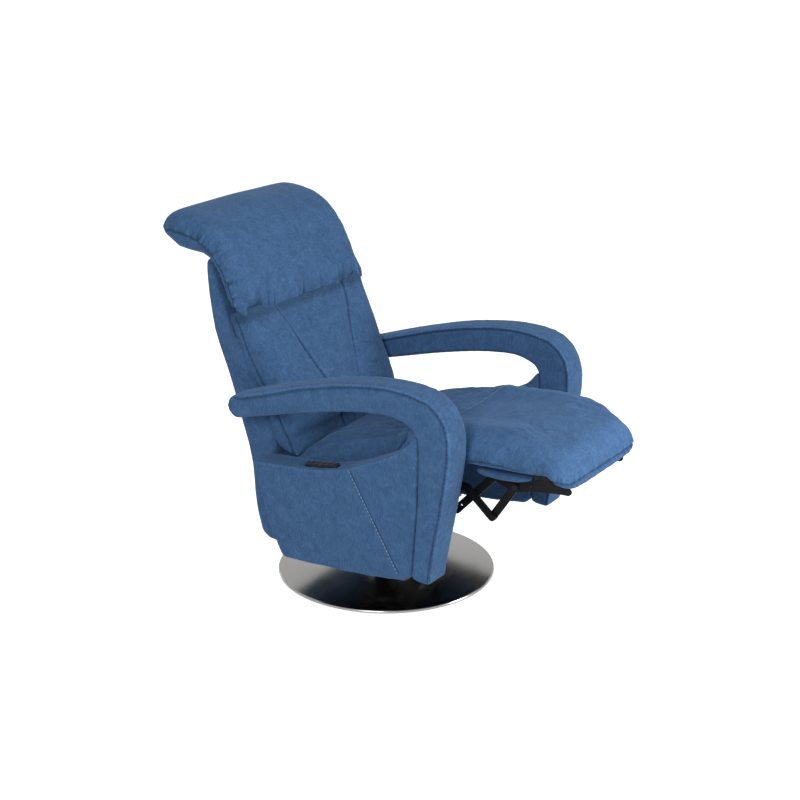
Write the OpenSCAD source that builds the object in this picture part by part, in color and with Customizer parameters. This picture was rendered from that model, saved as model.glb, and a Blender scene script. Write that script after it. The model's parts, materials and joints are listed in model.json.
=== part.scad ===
// Swivel recliner on a round steel base, in millimetres.
// +Z is up, the front faces -Y, +X is the sitter's left. The origin is on the swivel axis at floor level.
// It is drawn with the back part reclined and the footrest raised.

/* [Base] */
// Radius of the round base
base_r = 302; // [240:1:340]
// Height of the base's lower rim over the floor
rim_z = 6; // [4:0.5:10]
// Rise of the base's top from rim to middle
dome_h = 13; // [8:1:22]
// Wall of the spun steel cover
cover_t = 2; // [1.5:0.5:3]
// Thickness of the weight plate
weight_t = 5; // [4:0.5:5]
// Radius of each glide
glide_r = 9; // [6:1:14]
// Radius of the column tube
column_r = 34; // [28:1:42]
// Wall of the column tube
column_wall = 4; // [3:0.5:6]
// Height of the column's top plate
column_top = 128; // [118:1:130]
// Radius of the column's head and foot plates
flange_r = 66; // [58:1:72]
// Thickness of the head and foot plates
flange_t = 6; // [5:1:8]

/* [Swivel] */
// Radius of the ball circle
ball_circle_r = 52; // [46:1:58]
// Radius of each ball
ball_r = 4; // [3:0.5:5]
// Thickness of the swivel plate
plate_t = 6; // [5:1:8]
// Half width of the swivel plate
plate_half = 105; // [90:1:130]

/* [Chair] */
// Width over both arms
overall_w = 700; // [680:1:760]
// Thickness of each arm
arm_w = 80; // [60:1:86]
// Gap between a cushion and the arm
side_gap = 7; // [6:1:20]
// Distance of the mechanism's side plates from the middle
mech_x = 160; // [150:1:175]
// Thickness of the side plates
mech_t = 4; // [3:0.5:5]
// Size of the square cross rails
rail_s = 22; // [20:1:24]

/* [Arms] */
// Top of the arm band
arm_top = 674; // [650:1:720]
// Foot of the arm band's front leg
arm_foot = 171; // [160:1:185]
// Furthest point forward of the arm band
arm_front = -416; // [-440:1:-400]
// Rear end of the arm band
arm_rear = 271; // [240:1:300]
// Depth of the band at its rear end
band_rear = 62; // [50:1:70]
// Depth of the band along the armrest
band_mid = 76; // [64:1:84]
// Depth of the band at the bend
band_bend = 94; // [84:1:100]
// Depth of the front leg at its foot
band_foot = 56; // [46:1:66]
// Rounding of the band's long edges
edge_r = 8; // [6:1:14]

/* [Side panels] */
// Height of the ledge at the rear
ledge_z = 393; // [380:1:410]
// Rear end of the ledge
ledge_rear = 193; // [180:1:205]
// Lowest edge of the panel, at its rear
panel_foot = 139; // [130:1:148]
// Rounding of the panel's edges
panel_r = 7; // [4:1:10]

/* [Seat] */
// Slope of the seat, front up
seat_tilt = 17.9; // [12:0.1:20]
// Thickness of the seat cushion at its sides
seat_t = 94; // [86:1:97]
// Extra height of the seat's crown over its sides
seat_crown = 6; // [2:1:9]
// Thickness of the seat deck
deck_t = 12; // [9:1:12]
// Half width of the seat deck
deck_half = 205; // [190:1:230]

/* [Back] */
// Lean of the back from upright
back_lean = 23; // [18:0.5:26]
// Distance of the back's hinge behind the swivel axis
hinge_y = 150; // [145:1:160]
// Height of the back's hinge
hinge_z = 365; // [360:1:372]
// Depth of the back cushion in front of its frame
back_crown = 75; // [60:1:78]
// Height of the back cushion above the hinge
back_h = 350; // [330:1:352]
// Depth of the sewn channels
channel_d = 9; // [4:1:14]

/* [Headrest] */
// Height of the headrest's hinge above the back cushion
head_rise = 52; // [50:1:58]
// How far the headrest's curl reaches over the back's top
head_reach = 1; // [0.9:0.01:1.05]

/* [Footrest] */
// Distance of the knee hinge in front of the swivel axis
knee_y = -250; // [-258:1:-246]
// Height of the knee hinge
knee_z = 490; // [486:1:494]
// Radius of the pad's rear roll
knee_roll = 32; // [26:1:34]
// Length of the pad from knee hinge to nose
pad_l = 406; // [380:1:430]
// Half width of the pad's nose
nose_half = 156; // [130:1:190]
// Height of the pad's nose over the knee hinge
pad_rise = 3; // [-10:1:20]

/* [Linkage] */
// Width of the links
link_w = 22; // [18:1:24]
// Thickness of the links
link_t = 4; // [3:0.5:4.5]
// Gap between neighbouring layers of links
link_gap = 2; // [1.8:0.1:3]
// Radius of the rivets
rivet_r = 4; // [3:0.5:5]
// Running clearance of a rivet or shaft in its bore
run_fit = 0.06; // [0.03:0.01:0.1]
// Radius of the torque tube
tube_r = 12; // [10:1:14]
// Radius of the spreader tubes
spread_r = 9; // [7:1:10]

/* [Drives] */
// Side of the square guide rail
guide_s = 20; // [16:1:22]
// Height of the footrest drive's guide rail
foot_guide_z = 305; // [300:1:308]
// Height of the recline drive's guide rail
recline_guide_z = 280; // [274:1:284]
// Distance of each drive from the middle
drive_x = 62; // [54:1:74]
// Radius of the carriage pins
pin_r = 5; // [4:0.5:6]
// Travel of the footrest drive for a radian of fold
foot_rate = 79; // [77:0.5:81]
// Travel of the recline drive for a radian of recline
recline_rate = 91; // [89:0.5:93]

/* [Controls] */
// Length of the control strip
strip_l = 112; // [100:1:125]
// Width of the control strip
strip_w = 30; // [24:1:34]
// Side of each button along the strip
button_l = 14; // [10:0.5:15]
// Travel of each button
button_travel = 1.5; // [1:0.1:2]

/* [Hidden] */
$fn = 48;

// Colours
fabric = "steelblue";
steel = "silver";
black = [0.09, 0.09, 0.10];
grey = [0.28, 0.28, 0.29];

// Clearances
seat_fit = 0.3;
lace_gap = 0.4;

// Bolts
bolt_r = 4;
bolt_head_r = 7;
bolt_circle_r = (column_r + flange_r) / 2 + 1;
rail_wall = 2;

// Widths that follow from the arms
arm_in = overall_w / 2 - arm_w;
half_w = arm_in - side_gap;

// Heights of the swivel's stack
glide_h = rim_z;
weight_z = rim_z;
flange_z = weight_z + weight_t;
race_t = 5;
race_half = ball_r + 5;
ball_z = column_top + race_t + 1;
upper_z = ball_z + 1;
plate_z = upper_z + race_t;
rail_z = plate_z + plate_t;
rail_top = rail_z + rail_s;
rail_front = -82;
rail_rear = 10;
function y_in_rail(y) = y == rail_front ? y + rail_s / 2 : y - rail_s / 2;

// Points in the side view are [y, z]
knee = [knee_y, knee_z];
back_hinge = [hinge_y, hinge_z];
function turned(v, a) = [v[0] * cos(a) - v[1] * sin(a), v[0] * sin(a) + v[1] * cos(a)];
function unit(v) = v / norm(v);
function left_of(v) = [-v[1], v[0]];

// The footrest's linkage is two parallelograms that share the knee: each coupler keeps its direction
front_coupler_v = [-61, 92];
rear_coupler_v = [-110, 116];
front_pin = [-486, 399];
rear_pin = [-428, 418];
front_crank_pivot = knee - front_coupler_v;
rear_crank_pivot = knee - rear_coupler_v;
front_elbow = front_pin - front_coupler_v;
rear_elbow = rear_pin - rear_coupler_v;
front_bend = [-352, 371];

// Seat deck line, over the front crank's pivot
deck_rear = 92;
deck_front = -214;
deck_lift = 4;
function deck_z(y) = front_crank_pivot[1] + link_w / 2 + deck_lift - tan(seat_tilt) * (y - front_crank_pivot[0]);
deck_rise = deck_t / cos(seat_tilt);
spread_front = [-40, deck_z(-40) - spread_r - 0.5];
spread_rear = [62, deck_z(62) - spread_r - 0.5];

// A point t of the way along a smooth curve through four points
function smooth(a, b, c, d, t) =
    0.5 * (2 * b + (c - a) * t + (2 * a - 5 * b + 4 * c - d) * t * t + (3 * b - a - 3 * c + d) * t * t * t);
// A smooth curve through all points, with n steps between neighbours
function curve(p, n) = [
    for (i = [0:len(p) - 2])
        for (j = [0:n - (i < len(p) - 2 ? 1 : 0)])
            smooth(
                i > 0 ? p[i - 1] : 2 * p[0] - p[1], p[i], p[i + 1],
                i < len(p) - 2 ? p[i + 2] : 2 * p[i + 1] - p[i], j / n
            )
];
function heading(p, i) = unit(p[min(i + 1, len(p) - 1)] - p[max(i - 1, 0)]);

// Draws its children, given as [y, z], with their thickness along X from x
module at_x(x, t) {
    translate([x, 0, 0])
        rotate([90, 0, 90])
            linear_extrude(t)
                children();
}

module rod_x(x0, x1, p, r) {
    translate([x0, p[0], p[1]])
        rotate([0, 90, 0])
            cylinder(h = x1 - x0, r = r);
}

module box(lo, hi) {
    translate(lo)
        cube(hi - lo);
}

module pair() {
    children();
    mirror([1, 0, 0])
        children();
}

// Bar with round ends, a hair narrower than they are so that the outlines cross cleanly
module round_bar(a, b, w) {
    n = left_of(unit(b - a)) * (w / 2 - 0.01);
    polygon([a + n, a - n, b - n, b + n]);
    translate(a)
        circle(w / 2);
    translate(b)
        circle(w / 2);
}

// Closed skin over rings that all have the same number of points. Ends with hollows in their outline need two hubs,
// points in the planes of the ends that see the whole outline
module skin(rings, hubs = []) {
    n = len(rings[0]);
    m = len(rings);
    walls = [
        for (i = [0:m - 2])
            for (j = [0:n - 1])
                let (a = i * n + j, b = i * n + (j + 1) % n)
                    each [[a, a + n, b + n], [a, b + n, b]]
    ];
    k = n * m;
    ends = len(hubs) == 0
        ? [[for (j = [0:n - 1]) j], [for (j = [n - 1:-1:0]) (m - 1) * n + j]]
        : [
            for (j = [0:n - 1])
                let (next = (j + 1) % n)
                    each [[k, j, next], [k + 1, (m - 1) * n + next, (m - 1) * n + j]]
        ];
    polyhedron(concat([for (r = rings) each r], hubs), concat(walls, ends));
}

// Steps across half a stuffed form, as parts of its half width, closer together near the edge
half_steps = [1, 0.988, 0.955, 0.91, 0.85, 0.77, 0.64, 0.5, 0.33, 0.16];
function both_ways(v, middle) = concat(v, middle, [for (i = [len(v) - 1:-1:0]) -v[i]]);
// How full a section still is at u of its half width: a higher power gives squarer sides
function soft_edge(u, power) = sqrt(max(0, 1 - pow(abs(u), power)));

// A stuffed form along a path in the side view. wide, front and rear give its half width and its depth on each
// side of the path at every station, crown adds to the middle of the front, slant pushes the front on along the
// path, steps(i) lists places across the front, dent(x, i) draws the front in and sag(i) lets the middle of the
// rear hang further out
module stuffed(
    path, wide, front, rear, crown,
    power = 6,
    slant = function (i) 0,
    steps = function (i) both_ways(half_steps, [0]),
    dent = function (x, i) 0,
    sag = function (i) 0
) {
    rear_steps = both_ways([0.988, 0.94, 0.82, 0.5], []);
    skin([
        for (i = [0:len(path) - 1])
            let (ahead = heading(path, i), side = left_of(ahead))
                concat(
                    [
                        for (u = steps(i))
                            let (
                                x = wide[i] * u,
                                full = soft_edge(u, power),
                                d = front[i] * full + crown[i] * (1 - u * u) - dent(x, i) * full,
                                q = path[i] + side * d + ahead * d * slant(i)
                            )
                                [x, q[0], q[1]]
                    ],
                    [
                        for (u = rear_steps)
                            let (
                                d = -rear[i] * soft_edge(u, power) - sag(i) * min(1, (1 - u * u) / 0.75),
                                q = path[i] + side * d + ahead * d * slant(i)
                            )
                                [-wide[i] * u, q[0], q[1]]
                    ]
                )
    ]);
}

// Value at station i of n, from a list given at even steps
function along(v, i, n) =
    let (s = i / n * (len(v) - 1), k = min(floor(s), len(v) - 2), t = s - k)
        smooth(v[max(k - 1, 0)], v[k], v[k + 1], v[min(k + 2, len(v) - 1)], t);

// Round base

module base_cover() {
    rim_top = rim_z + 7;
    bore = column_r + 0.5;
    function rise(r) = rim_top + dome_h * (1 - pow(r / base_r, 2));
    color("gainsboro")
        rotate_extrude($fn = 120)
            polygon([
                [base_r, rim_z], [base_r, rim_z + 4], [base_r - 1, rim_z + 6],
                for (r = [base_r - 3, base_r * 0.85, base_r * 0.68, base_r * 0.5, base_r * 0.3, bore]) [r, rise(r)],
                for (r = [bore, base_r * 0.3, base_r * 0.5, base_r * 0.68, base_r * 0.85, base_r - 3])
                    [r, rise(r) - cover_t],
                [base_r - cover_t, rim_z]
            ]);
}

module base_weight() {
    color(black)
        difference() {
            translate([0, 0, weight_z])
                cylinder(h = weight_t, r = base_r - 8, $fn = 120);
            for (a = [45:90:315])
                rotate(a)
                    translate([bolt_circle_r, 0, weight_z - 1])
                        cylinder(h = weight_t + 2, r = bolt_r + run_fit);
        }
}

module base_glides() {
    color(black)
        for (a = [0:45:315])
            rotate(a + 22.5)
                translate([base_r - 8 - glide_r - 2, 0, 0])
                    cylinder(h = glide_h, r1 = glide_r - 1.5, r2 = glide_r);
}

module centre_column() {
    color(black)
        difference() {
            union() {
                translate([0, 0, flange_z])
                    cylinder(h = flange_t, r = flange_r);
                translate([0, 0, flange_z])
                    cylinder(h = column_top - flange_z, r = column_r);
                translate([0, 0, column_top - flange_t])
                    cylinder(h = flange_t, r = flange_r);
            }
            translate([0, 0, flange_z - 1])
                cylinder(h = column_top - flange_z + 2, r = column_r - column_wall);
            for (a = [45:90:315])
                rotate(a)
                    translate([bolt_circle_r, 0, flange_z - 1])
                        cylinder(h = flange_t + 2, r = bolt_r + run_fit);
        }
}

module column_bolts() {
    color(steel)
        for (a = [45:90:315])
            rotate(a)
                translate([bolt_circle_r, 0, 0]) {
                    translate([0, 0, weight_z + 0.5])
                        cylinder(h = weight_t + flange_t - 0.5, r = bolt_r);
                    translate([0, 0, flange_z + flange_t])
                        cylinder(h = 4, r = bolt_head_r, $fn = 6);
                }
}

// Thrust bearing between the column and the swivel plate

module race(z) {
    difference() {
        translate([0, 0, z])
            cylinder(h = race_t, r = ball_circle_r + race_half, $fn = 96);
        translate([0, 0, z - 1])
            cylinder(h = race_t + 2, r = ball_circle_r - race_half, $fn = 96);
        rotate_extrude($fn = 96)
            translate([ball_circle_r, ball_z])
                circle(ball_r + 0.05);
    }
}

module bearing_lower_race() {
    color(steel)
        race(column_top);
}

module bearing_upper_race() {
    color(steel)
        race(upper_z);
}

module bearing_balls() {
    color("white")
        for (a = [0:20:340])
            rotate(a)
                translate([ball_circle_r, 0, ball_z])
                    sphere(ball_r);
}

// Chassis

plate_rear = 55;

module swivel_plate() {
    color(black)
        difference() {
            box([-plate_half, -plate_half, plate_z], [plate_half, plate_rear, plate_z + plate_t]);
            translate([0, 0, plate_z - 1])
                cylinder(h = plate_t + 2, r = 18);
            for (x = [-1, 1], y = [rail_front, rail_rear])
                translate([x * (plate_half - 20), y_in_rail(y), plate_z - 1])
                    cylinder(h = plate_t + 2, r = bolt_r + run_fit);
        }
}

module swivel_bolts() {
    color(steel)
        for (x = [-1, 1], y = [rail_front, rail_rear])
            translate([x * (plate_half - 20), y_in_rail(y), 0]) {
                translate([0, 0, plate_z])
                    cylinder(h = plate_t + rail_wall + 1, r = bolt_r);
                translate([0, 0, plate_z - 4])
                    cylinder(h = 4, r = bolt_head_r, $fn = 6);
            }
}

module cross_rails() {
    x = arm_in - seat_fit;
    color(black)
        for (y = [rail_front, rail_rear - rail_s])
            difference() {
                box([-x, y, rail_z], [x, y + rail_s, rail_top]);
                box([-x - 1, y + rail_wall, rail_z + rail_wall], [x + 1, y + rail_s - rail_wall, rail_top - rail_wall]);
                for (side = [-1, 1])
                    translate([side * (plate_half - 20), y + rail_s / 2, rail_z - 1])
                        cylinder(h = rail_wall + 1.5, r = bolt_r + run_fit);
            }
}

// Pressed side plate that carries the linkage's pivots, the deck and the back's hinge
module mechanism_plates() {
    hinge_boss = 20;
    color(black)
        pair()
            at_x(mech_x, mech_t)
                difference() {
                    union() {
                        polygon([
                            [rail_front - 4, rail_top], [rail_rear + 8, rail_top], [62, 206], [108, 262],
                            [136, 318], back_hinge + [12, -16], back_hinge + [-12, 16],
                            [deck_rear + 6, deck_z(deck_rear + 6) - seat_fit],
                            [front_crank_pivot[0] + 6, deck_z(front_crank_pivot[0] + 6) - seat_fit],
                            front_crank_pivot, rear_crank_pivot + [-12, -22]
                        ]);
                        translate(back_hinge)
                            circle(hinge_boss);
                        translate(front_crank_pivot)
                            circle(link_w / 2 + 1);
                        translate(rear_crank_pivot)
                            circle(tube_r + 8);
                    }
                    translate(back_hinge)
                        circle(tube_r + run_fit);
                    translate(front_crank_pivot)
                        circle(rivet_r + run_fit);
                    translate(rear_crank_pivot)
                        circle(tube_r + run_fit);
                    round_bar([-30, 215], [-55, 275], 52);
                    round_bar([22, 225], [48, 262], 40);
                }
}

module spreader_tubes() {
    color(black)
        for (p = [spread_front, spread_rear])
            rod_x(-mech_x, mech_x, p, spread_r);
}

module seat_deck() {
    color("burlywood")
        at_x(-deck_half, 2 * deck_half)
            polygon([
                for (y = [deck_rear, deck_front]) [y, deck_z(y)],
                for (y = [deck_front, deck_rear]) [y, deck_z(y) + deck_rise]
            ]);
}

// Stuffed seat: flat sides, a crown, and a front that leans forward over the footrest's roll
module seat_cushion() {
    base_d = 28;
    y_steps = [-193, -189, -181, -168, -150, -130, -105, -70, -30, 10, 48, 75, 88, 95, 99];
    lean = [-1.1, -1.09, -1.04, -0.88, -0.6, -0.35, -0.12, 0, 0, 0, 0, 0, 0, 0, 0];
    fill = [0.62, 0.74, 0.83, 0.9, 0.96, 1, 1, 1, 1, 1, 0.96, 0.86, 0.7, 0.5, 0.28];
    function middle(y) = deck_z(y) + deck_rise + (base_d + seat_fit) / cos(seat_tilt);
    color(fabric)
        stuffed(
            [for (y = y_steps) [y, middle(y)]],
            [for (f = fill) half_w - 14 * (1 - f)],
            [for (f = fill) (seat_t - base_d) * f],
            [for (f = fill) base_d * f],
            [for (f = fill) seat_crown * f],
            power = 12,
            slant = function (i) lean[i]
        );
}

// Arms

band_points = [
    [0.955, 0.718], [0.81, 0.775], [0.65, 0.835], [0.486, 0.887], [0.341, 0.916], [0.224, 0.92], [0.119, 0.88],
    [0.072, 0.781], [0.068, 0.682], [0.073, 0.569], [0.088, 0.37], [0.105, 0.205], [0.121, 0.02]
];
band_path = curve([
    for (p = band_points)
        [arm_front + p[0] * (arm_rear - arm_front), arm_foot + p[1] * (arm_top - arm_foot)]
], 3);
band_depths = [
    band_rear, 0.5 * (band_rear + band_mid), band_mid - 4, band_mid, band_mid, band_mid + 4, band_bend + 3,
    band_bend + 4, band_bend, band_bend - 6, 0.45 * band_bend + 0.55 * band_foot,
    0.2 * band_bend + 0.8 * band_foot, band_foot
];
band_half = [for (i = [0:len(band_path) - 1]) along(band_depths, i, len(band_path) - 1) / 2];
function band_side(i) = left_of(heading(band_path, i));
function band_inner(i, gap) = band_path[i] + band_side(i) * (band_half[i] + gap);

// One rounded cross-section of an arm, at p, with its depth along d
function band_ring(x, p, d, half, inset) = [
    for (c = [0:3])
        for (a = [c * 90:22.5:c * 90 + 90])
            let (
                r = max(edge_r - inset, 2),
                cx = (c == 0 || c == 3 ? 1 : -1) * (arm_w / 2 - edge_r),
                cd = (c < 2 ? 1 : -1) * (half - min(edge_r, half - 1)),
                q = p + d * (cd + r * sin(a))
            )
                [x + cx + r * cos(a), q[0], q[1]]
];

module arm_band(x) {
    m = len(band_path) - 1;
    out = -heading(band_path, 0);
    down = heading(band_path, m);
    tip = [
        for (a = [80, 62, 40, 18])
            band_ring(x, band_path[0] + out * band_half[0] * sin(a), band_side(0), band_half[0] * cos(a) + 1,
                edge_r * 0.5 * (1 - cos(a)))
    ];
    foot = [
        for (a = [30, 60, 84])
            band_ring(x, band_path[m] + down * edge_r * sin(a), band_side(m), band_half[m] - edge_r * (1 - cos(a)),
                edge_r * (1 - cos(a)))
    ];
    color(fabric)
        skin(concat(
            tip,
            [for (i = [0:m]) band_ring(x, band_path[i], band_side(i), band_half[i], 0)],
            foot
        ));
}

module arm_band_right() {
    arm_band(-overall_w / 2 + arm_w / 2);
}

module arm_band_left() {
    mirror([1, 0, 0])
        arm_band(-overall_w / 2 + arm_w / 2);
}

// Side panels: the ledge sweeps up into the band's inner edge

tip_station = 20;
foot_station = len(band_path) - 1;
ledge_tip = band_inner(tip_station, lace_gap);
ledge_points = [
    [0, 0], [0.174, 0.043], [0.332, 0.079], [0.457, 0.134], [0.599, 0.25], [0.739, 0.439], [0.887, 0.665],
    [0.955, 0.83]
];
ledge = curve([
    for (p = ledge_points)
        [ledge_rear + p[0] * (ledge_tip[0] - ledge_rear), ledge_z + p[1] * (ledge_tip[1] - ledge_z)]
], 3);
panel_rear = [[101, panel_foot + 5], [112, panel_foot + 24], [138, 220], [163, 300], [180, 352]];
panel_bottom = [[-286, 167], [-215, 158], [-151, 151], [-25, panel_foot + 5], [88, panel_foot]];
panel_outline = concat(
    ledge,
    [for (i = [tip_station:foot_station]) band_inner(i, lace_gap)],
    curve(panel_bottom, 2),
    curve(panel_rear, 2)
);
panel_hub = [0.77 * ledge_tip[0] + 0.23 * ledge_rear, (ledge_tip[1] + panel_foot) / 2];

// A slab with soft edges: the outline drawn in at both faces, less so near its sharp tip, where the two sides
// would cross
tip_ease = 60;
module soft_slab(outline, tip, hub, x, t, r) {
    n = len(outline);
    function inward(i) =
        left_of(unit(outline[(i + 1) % n] - outline[(i + n - 1) % n]))
            * min(1, norm(outline[i] - tip) / tip_ease);
    skin([
        for (s = [[0, 0.7], [0.15, 0.22], [0.6, 0]])
            [for (i = [0:n - 1]) let (q = outline[i] + inward(i) * s[1] * r) [x + s[0] * r, q[0], q[1]]],
        for (s = [[0.6, 0], [0.15, 0.22], [0, 0.7]])
            [for (i = [0:n - 1]) let (q = outline[i] + inward(i) * s[1] * r) [x + t - s[0] * r, q[0], q[1]]]
    ], [[x, hub[0], hub[1]], [x + t, hub[0], hub[1]]]);
}

module side_panel_left() {
    color(fabric)
        mirror([1, 0, 0])
            soft_slab(panel_outline, ledge_tip, panel_hub, -overall_w / 2, arm_w, panel_r);
}

module side_panel_right() {
    color(fabric)
        difference() {
            soft_slab(panel_outline, ledge_tip, panel_hub, -overall_w / 2, arm_w, panel_r);
            on_ledge()
                strip_block(-strip_deep - 0.3, 20, 0.3);
        }
}

// Controls on the right ledge

strip_y = -7;
strip_deep = 16;
strip_slant = 12;
function ledge_height(y) = lookup(y, [for (i = [len(ledge) - 1:-1:0]) ledge[i]]);
strip_lo = strip_y - strip_l / 2;
strip_hi = strip_y + strip_l / 2;
strip_tilt = atan((ledge_height(strip_lo) - ledge_height(strip_hi)) / strip_l);
strip_lift = (ledge_height(strip_lo) + ledge_height(strip_hi)) / 2 + 1;
button_w = strip_w - 10;
button_pitch = button_l + 4;
button_gap = 0.4;
button_rise = 1.6;
button_deep = 5;

module on_ledge() {
    translate([-overall_w / 2 + arm_w / 2, strip_y, strip_lift])
        rotate([-strip_tilt, 0, 0])
            children();
}

module strip_block(low, high, grow) {
    w = strip_w / 2 + grow;
    l = strip_l / 2 + grow;
    s = strip_slant / 2;
    translate([0, 0, low])
        linear_extrude(high - low)
            polygon([[w, -l + 2 * s], [w, l], [-w, l - 2 * s], [-w, -l]]);
}

function button_y(i) = (i - 3) * button_pitch;

module button_block(i, low, high, grow) {
    box(
        [-button_w / 2 - grow, button_y(i) - button_l / 2 - grow, low],
        [button_w / 2 + grow, button_y(i) + button_l / 2 + grow, high]
    );
}

module control_housing() {
    color(black)
        difference() {
            on_ledge()
                strip_block(-strip_deep, 0, 0);
            on_ledge()
                for (i = [1:5])
                    button_block(i, -button_deep - button_travel - 0.5, 5, button_gap);
        }
}

module button(i) {
    color(grey)
        on_ledge()
            button_block(i, -button_deep, button_rise, 0);
}

module button_1() {
    button(1);
}

module button_2() {
    button(2);
}

module button_3() {
    button(3);
}

module button_4() {
    button(4);
}

module button_5() {
    button(5);
}

// Drives: a carriage with a side pin runs on a square rail and swings a slotted lever

carriage_wall = 8;
carriage_l = 26;
guide_fit = 0.3;
lever_t = 6;
lever_gap = 4;
slot_play = 2.6;
fold_half = 40;
foot_lever = rear_crank_pivot[1] - foot_guide_z;
recline_lever = hinge_z - recline_guide_z;
recline_lead = 4;
foot_pin_y = rear_crank_pivot[0] - foot_rate * fold_half * PI / 180;
recline_pin_y = hinge_y - recline_rate * recline_lead * PI / 180;
carriage_face = drive_x - guide_s / 2 - guide_fit - carriage_wall;
lever_x = carriage_face - lever_gap - lever_t;

module carriage(y, z) {
    s = guide_s / 2 + guide_fit;
    w = s + carriage_wall;
    difference() {
        box([drive_x - w, y - carriage_l / 2, z - w], [drive_x + w, y + carriage_l / 2, z + w]);
        box([drive_x - s, y - carriage_l, z - s], [drive_x + s, y + carriage_l, z + s]);
    }
    rod_x(lever_x - 2, drive_x - w + 1, [y, z], pin_r);
}

// Saddle from a drive at a to a spreader tube at b, open against the deck
module ear(a, b, w, t = 8) {
    over_deck = [for (y = [b[0] - 40, b[0] + 40]) [y, deck_z(y) - seat_fit]];
    at_x(drive_x - t / 2, t)
        difference() {
            round_bar(a, b, w);
            translate(b)
                circle(spread_r + run_fit);
            polygon(concat(over_deck, [over_deck[1] + [0, 60], over_deck[0] + [0, 60]]));
        }
}

module lever(pivot, direction, reach, angle) {
    far = reach / cos(angle);
    at_x(lever_x, lever_t)
        difference() {
            union() {
                translate(pivot)
                    circle(tube_r + 7);
                round_bar(pivot, pivot + direction * (far + 3), 2 * (pin_r + slot_play) + 16);
            }
            translate(pivot)
                circle(tube_r + run_fit);
            round_bar(pivot + direction * (reach - 3), pivot + direction * (far + 2), 2 * (pin_r + slot_play));
        }
}

module footrest_drive() {
    s = guide_s / 2;
    gear_y = [-28, 22];
    motor_r = 19;
    color(black)
        mirror([1, 0, 0]) {
            difference() {
                union() {
                    box([drive_x - s, -212, foot_guide_z - s], [drive_x + s, gear_y[0], foot_guide_z + s]);
                    box(
                        [drive_x - 26, gear_y[0], foot_guide_z - 48],
                        [drive_x + 26, gear_y[1], foot_guide_z + s + 7]
                    );
                    translate([drive_x, -112, foot_guide_z - 43])
                        rotate([-90, 0, 0])
                            cylinder(h = gear_y[0] + 112, r = motor_r);
                    ear([gear_y[0] + 12, foot_guide_z + s], spread_front, 2 * spread_r + 10);
                }
                rod_x(0, mech_x, spread_front, spread_r + run_fit);
            }
        }
}

module footrest_carriage() {
    color(grey)
        mirror([1, 0, 0])
            carriage(foot_pin_y, foot_guide_z);
}

module recline_drive() {
    s = guide_s / 2;
    gear_y = [-90, -40];
    motor_r = 19;
    color(black)
        difference() {
            union() {
                box([drive_x - s, gear_y[1], recline_guide_z - s], [drive_x + s, 172, recline_guide_z + s]);
                box(
                    [drive_x - 26, gear_y[0], recline_guide_z - 46],
                    [drive_x + 26, gear_y[1], recline_guide_z + s + 16]
                );
                translate([drive_x, gear_y[1], recline_guide_z - 42])
                    rotate([-90, 0, 0])
                        cylinder(h = 88, r = motor_r);
                ear([gear_y[1] - 14, recline_guide_z + s + 6], spread_front, 2 * spread_r + 10);
                ear([spread_rear[0], recline_guide_z], spread_rear, 2 * spread_r + 8);
            }
            rod_x(0, mech_x, spread_front, spread_r + run_fit);
            rod_x(0, mech_x, spread_rear, spread_r + run_fit);
        }
}

module recline_carriage() {
    color(grey)
        carriage(recline_pin_y, recline_guide_z);
}

// Back, drawn upright with its hinge at the origin and then leaned

hinge_plate_x = mech_x + mech_t + 2;
upright_x = 196;
upright_w = 20;
frame_front = 5;
frame_rear = 23;
frame_top = back_h + 8;
head_z = back_h + head_rise;
bar_h = 20;

module on_back() {
    translate([0, hinge_y, hinge_z])
        rotate([-back_lean, 0, 0])
            children();
}

module back_uprights() {
    color(black)
        on_back()
            pair()
                box([upright_x, frame_front, 34], [upright_x + upright_w, frame_rear, frame_top]);
}

module back_crossbars() {
    color(black)
        on_back() {
            for (z = [34, 190, frame_top - bar_h])
                box([-upright_x, frame_front, z], [upright_x, frame_rear, z + bar_h]);
            pair()
                at_x(head_lug_x, head_lug_t)
                    difference() {
                        round_bar([head_hinge[0] + 1, frame_top - 6], head_hinge, 13);
                        translate(head_hinge)
                            circle(head_pin_r + run_fit);
                        square([60, 2 * frame_top - 4], center = true);
                    }
        }
}

module back_hinge_plates() {
    color(black)
        on_back()
            pair()
                at_x(hinge_plate_x, mech_t)
                    difference() {
                        union() {
                            circle(tube_r + 8);
                            polygon([[-16, 6], [frame_front - 0.2, 34 + bar_h], [frame_front - 0.2, 34],
                                [frame_rear, 33.8], [20, 0]]);
                        }
                        circle(tube_r + run_fit);
                    }
}

module back_torque_tube() {
    color(black)
        on_back()
            rod_x(-hinge_plate_x - mech_t - 2, hinge_plate_x + mech_t + 2, [0, 0], tube_r);
    color(black)
        lever(back_hinge, turned([0, -1], -recline_lead), recline_lever, 32);
}

module back_belts() {
    color([0.2, 0.2, 0.2])
        on_back()
            for (z = [66, 128, 216, 272])
                box([-upright_x - upright_w, frame_front - 3, z], [upright_x + upright_w, frame_front, z + 46]);
}

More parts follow.
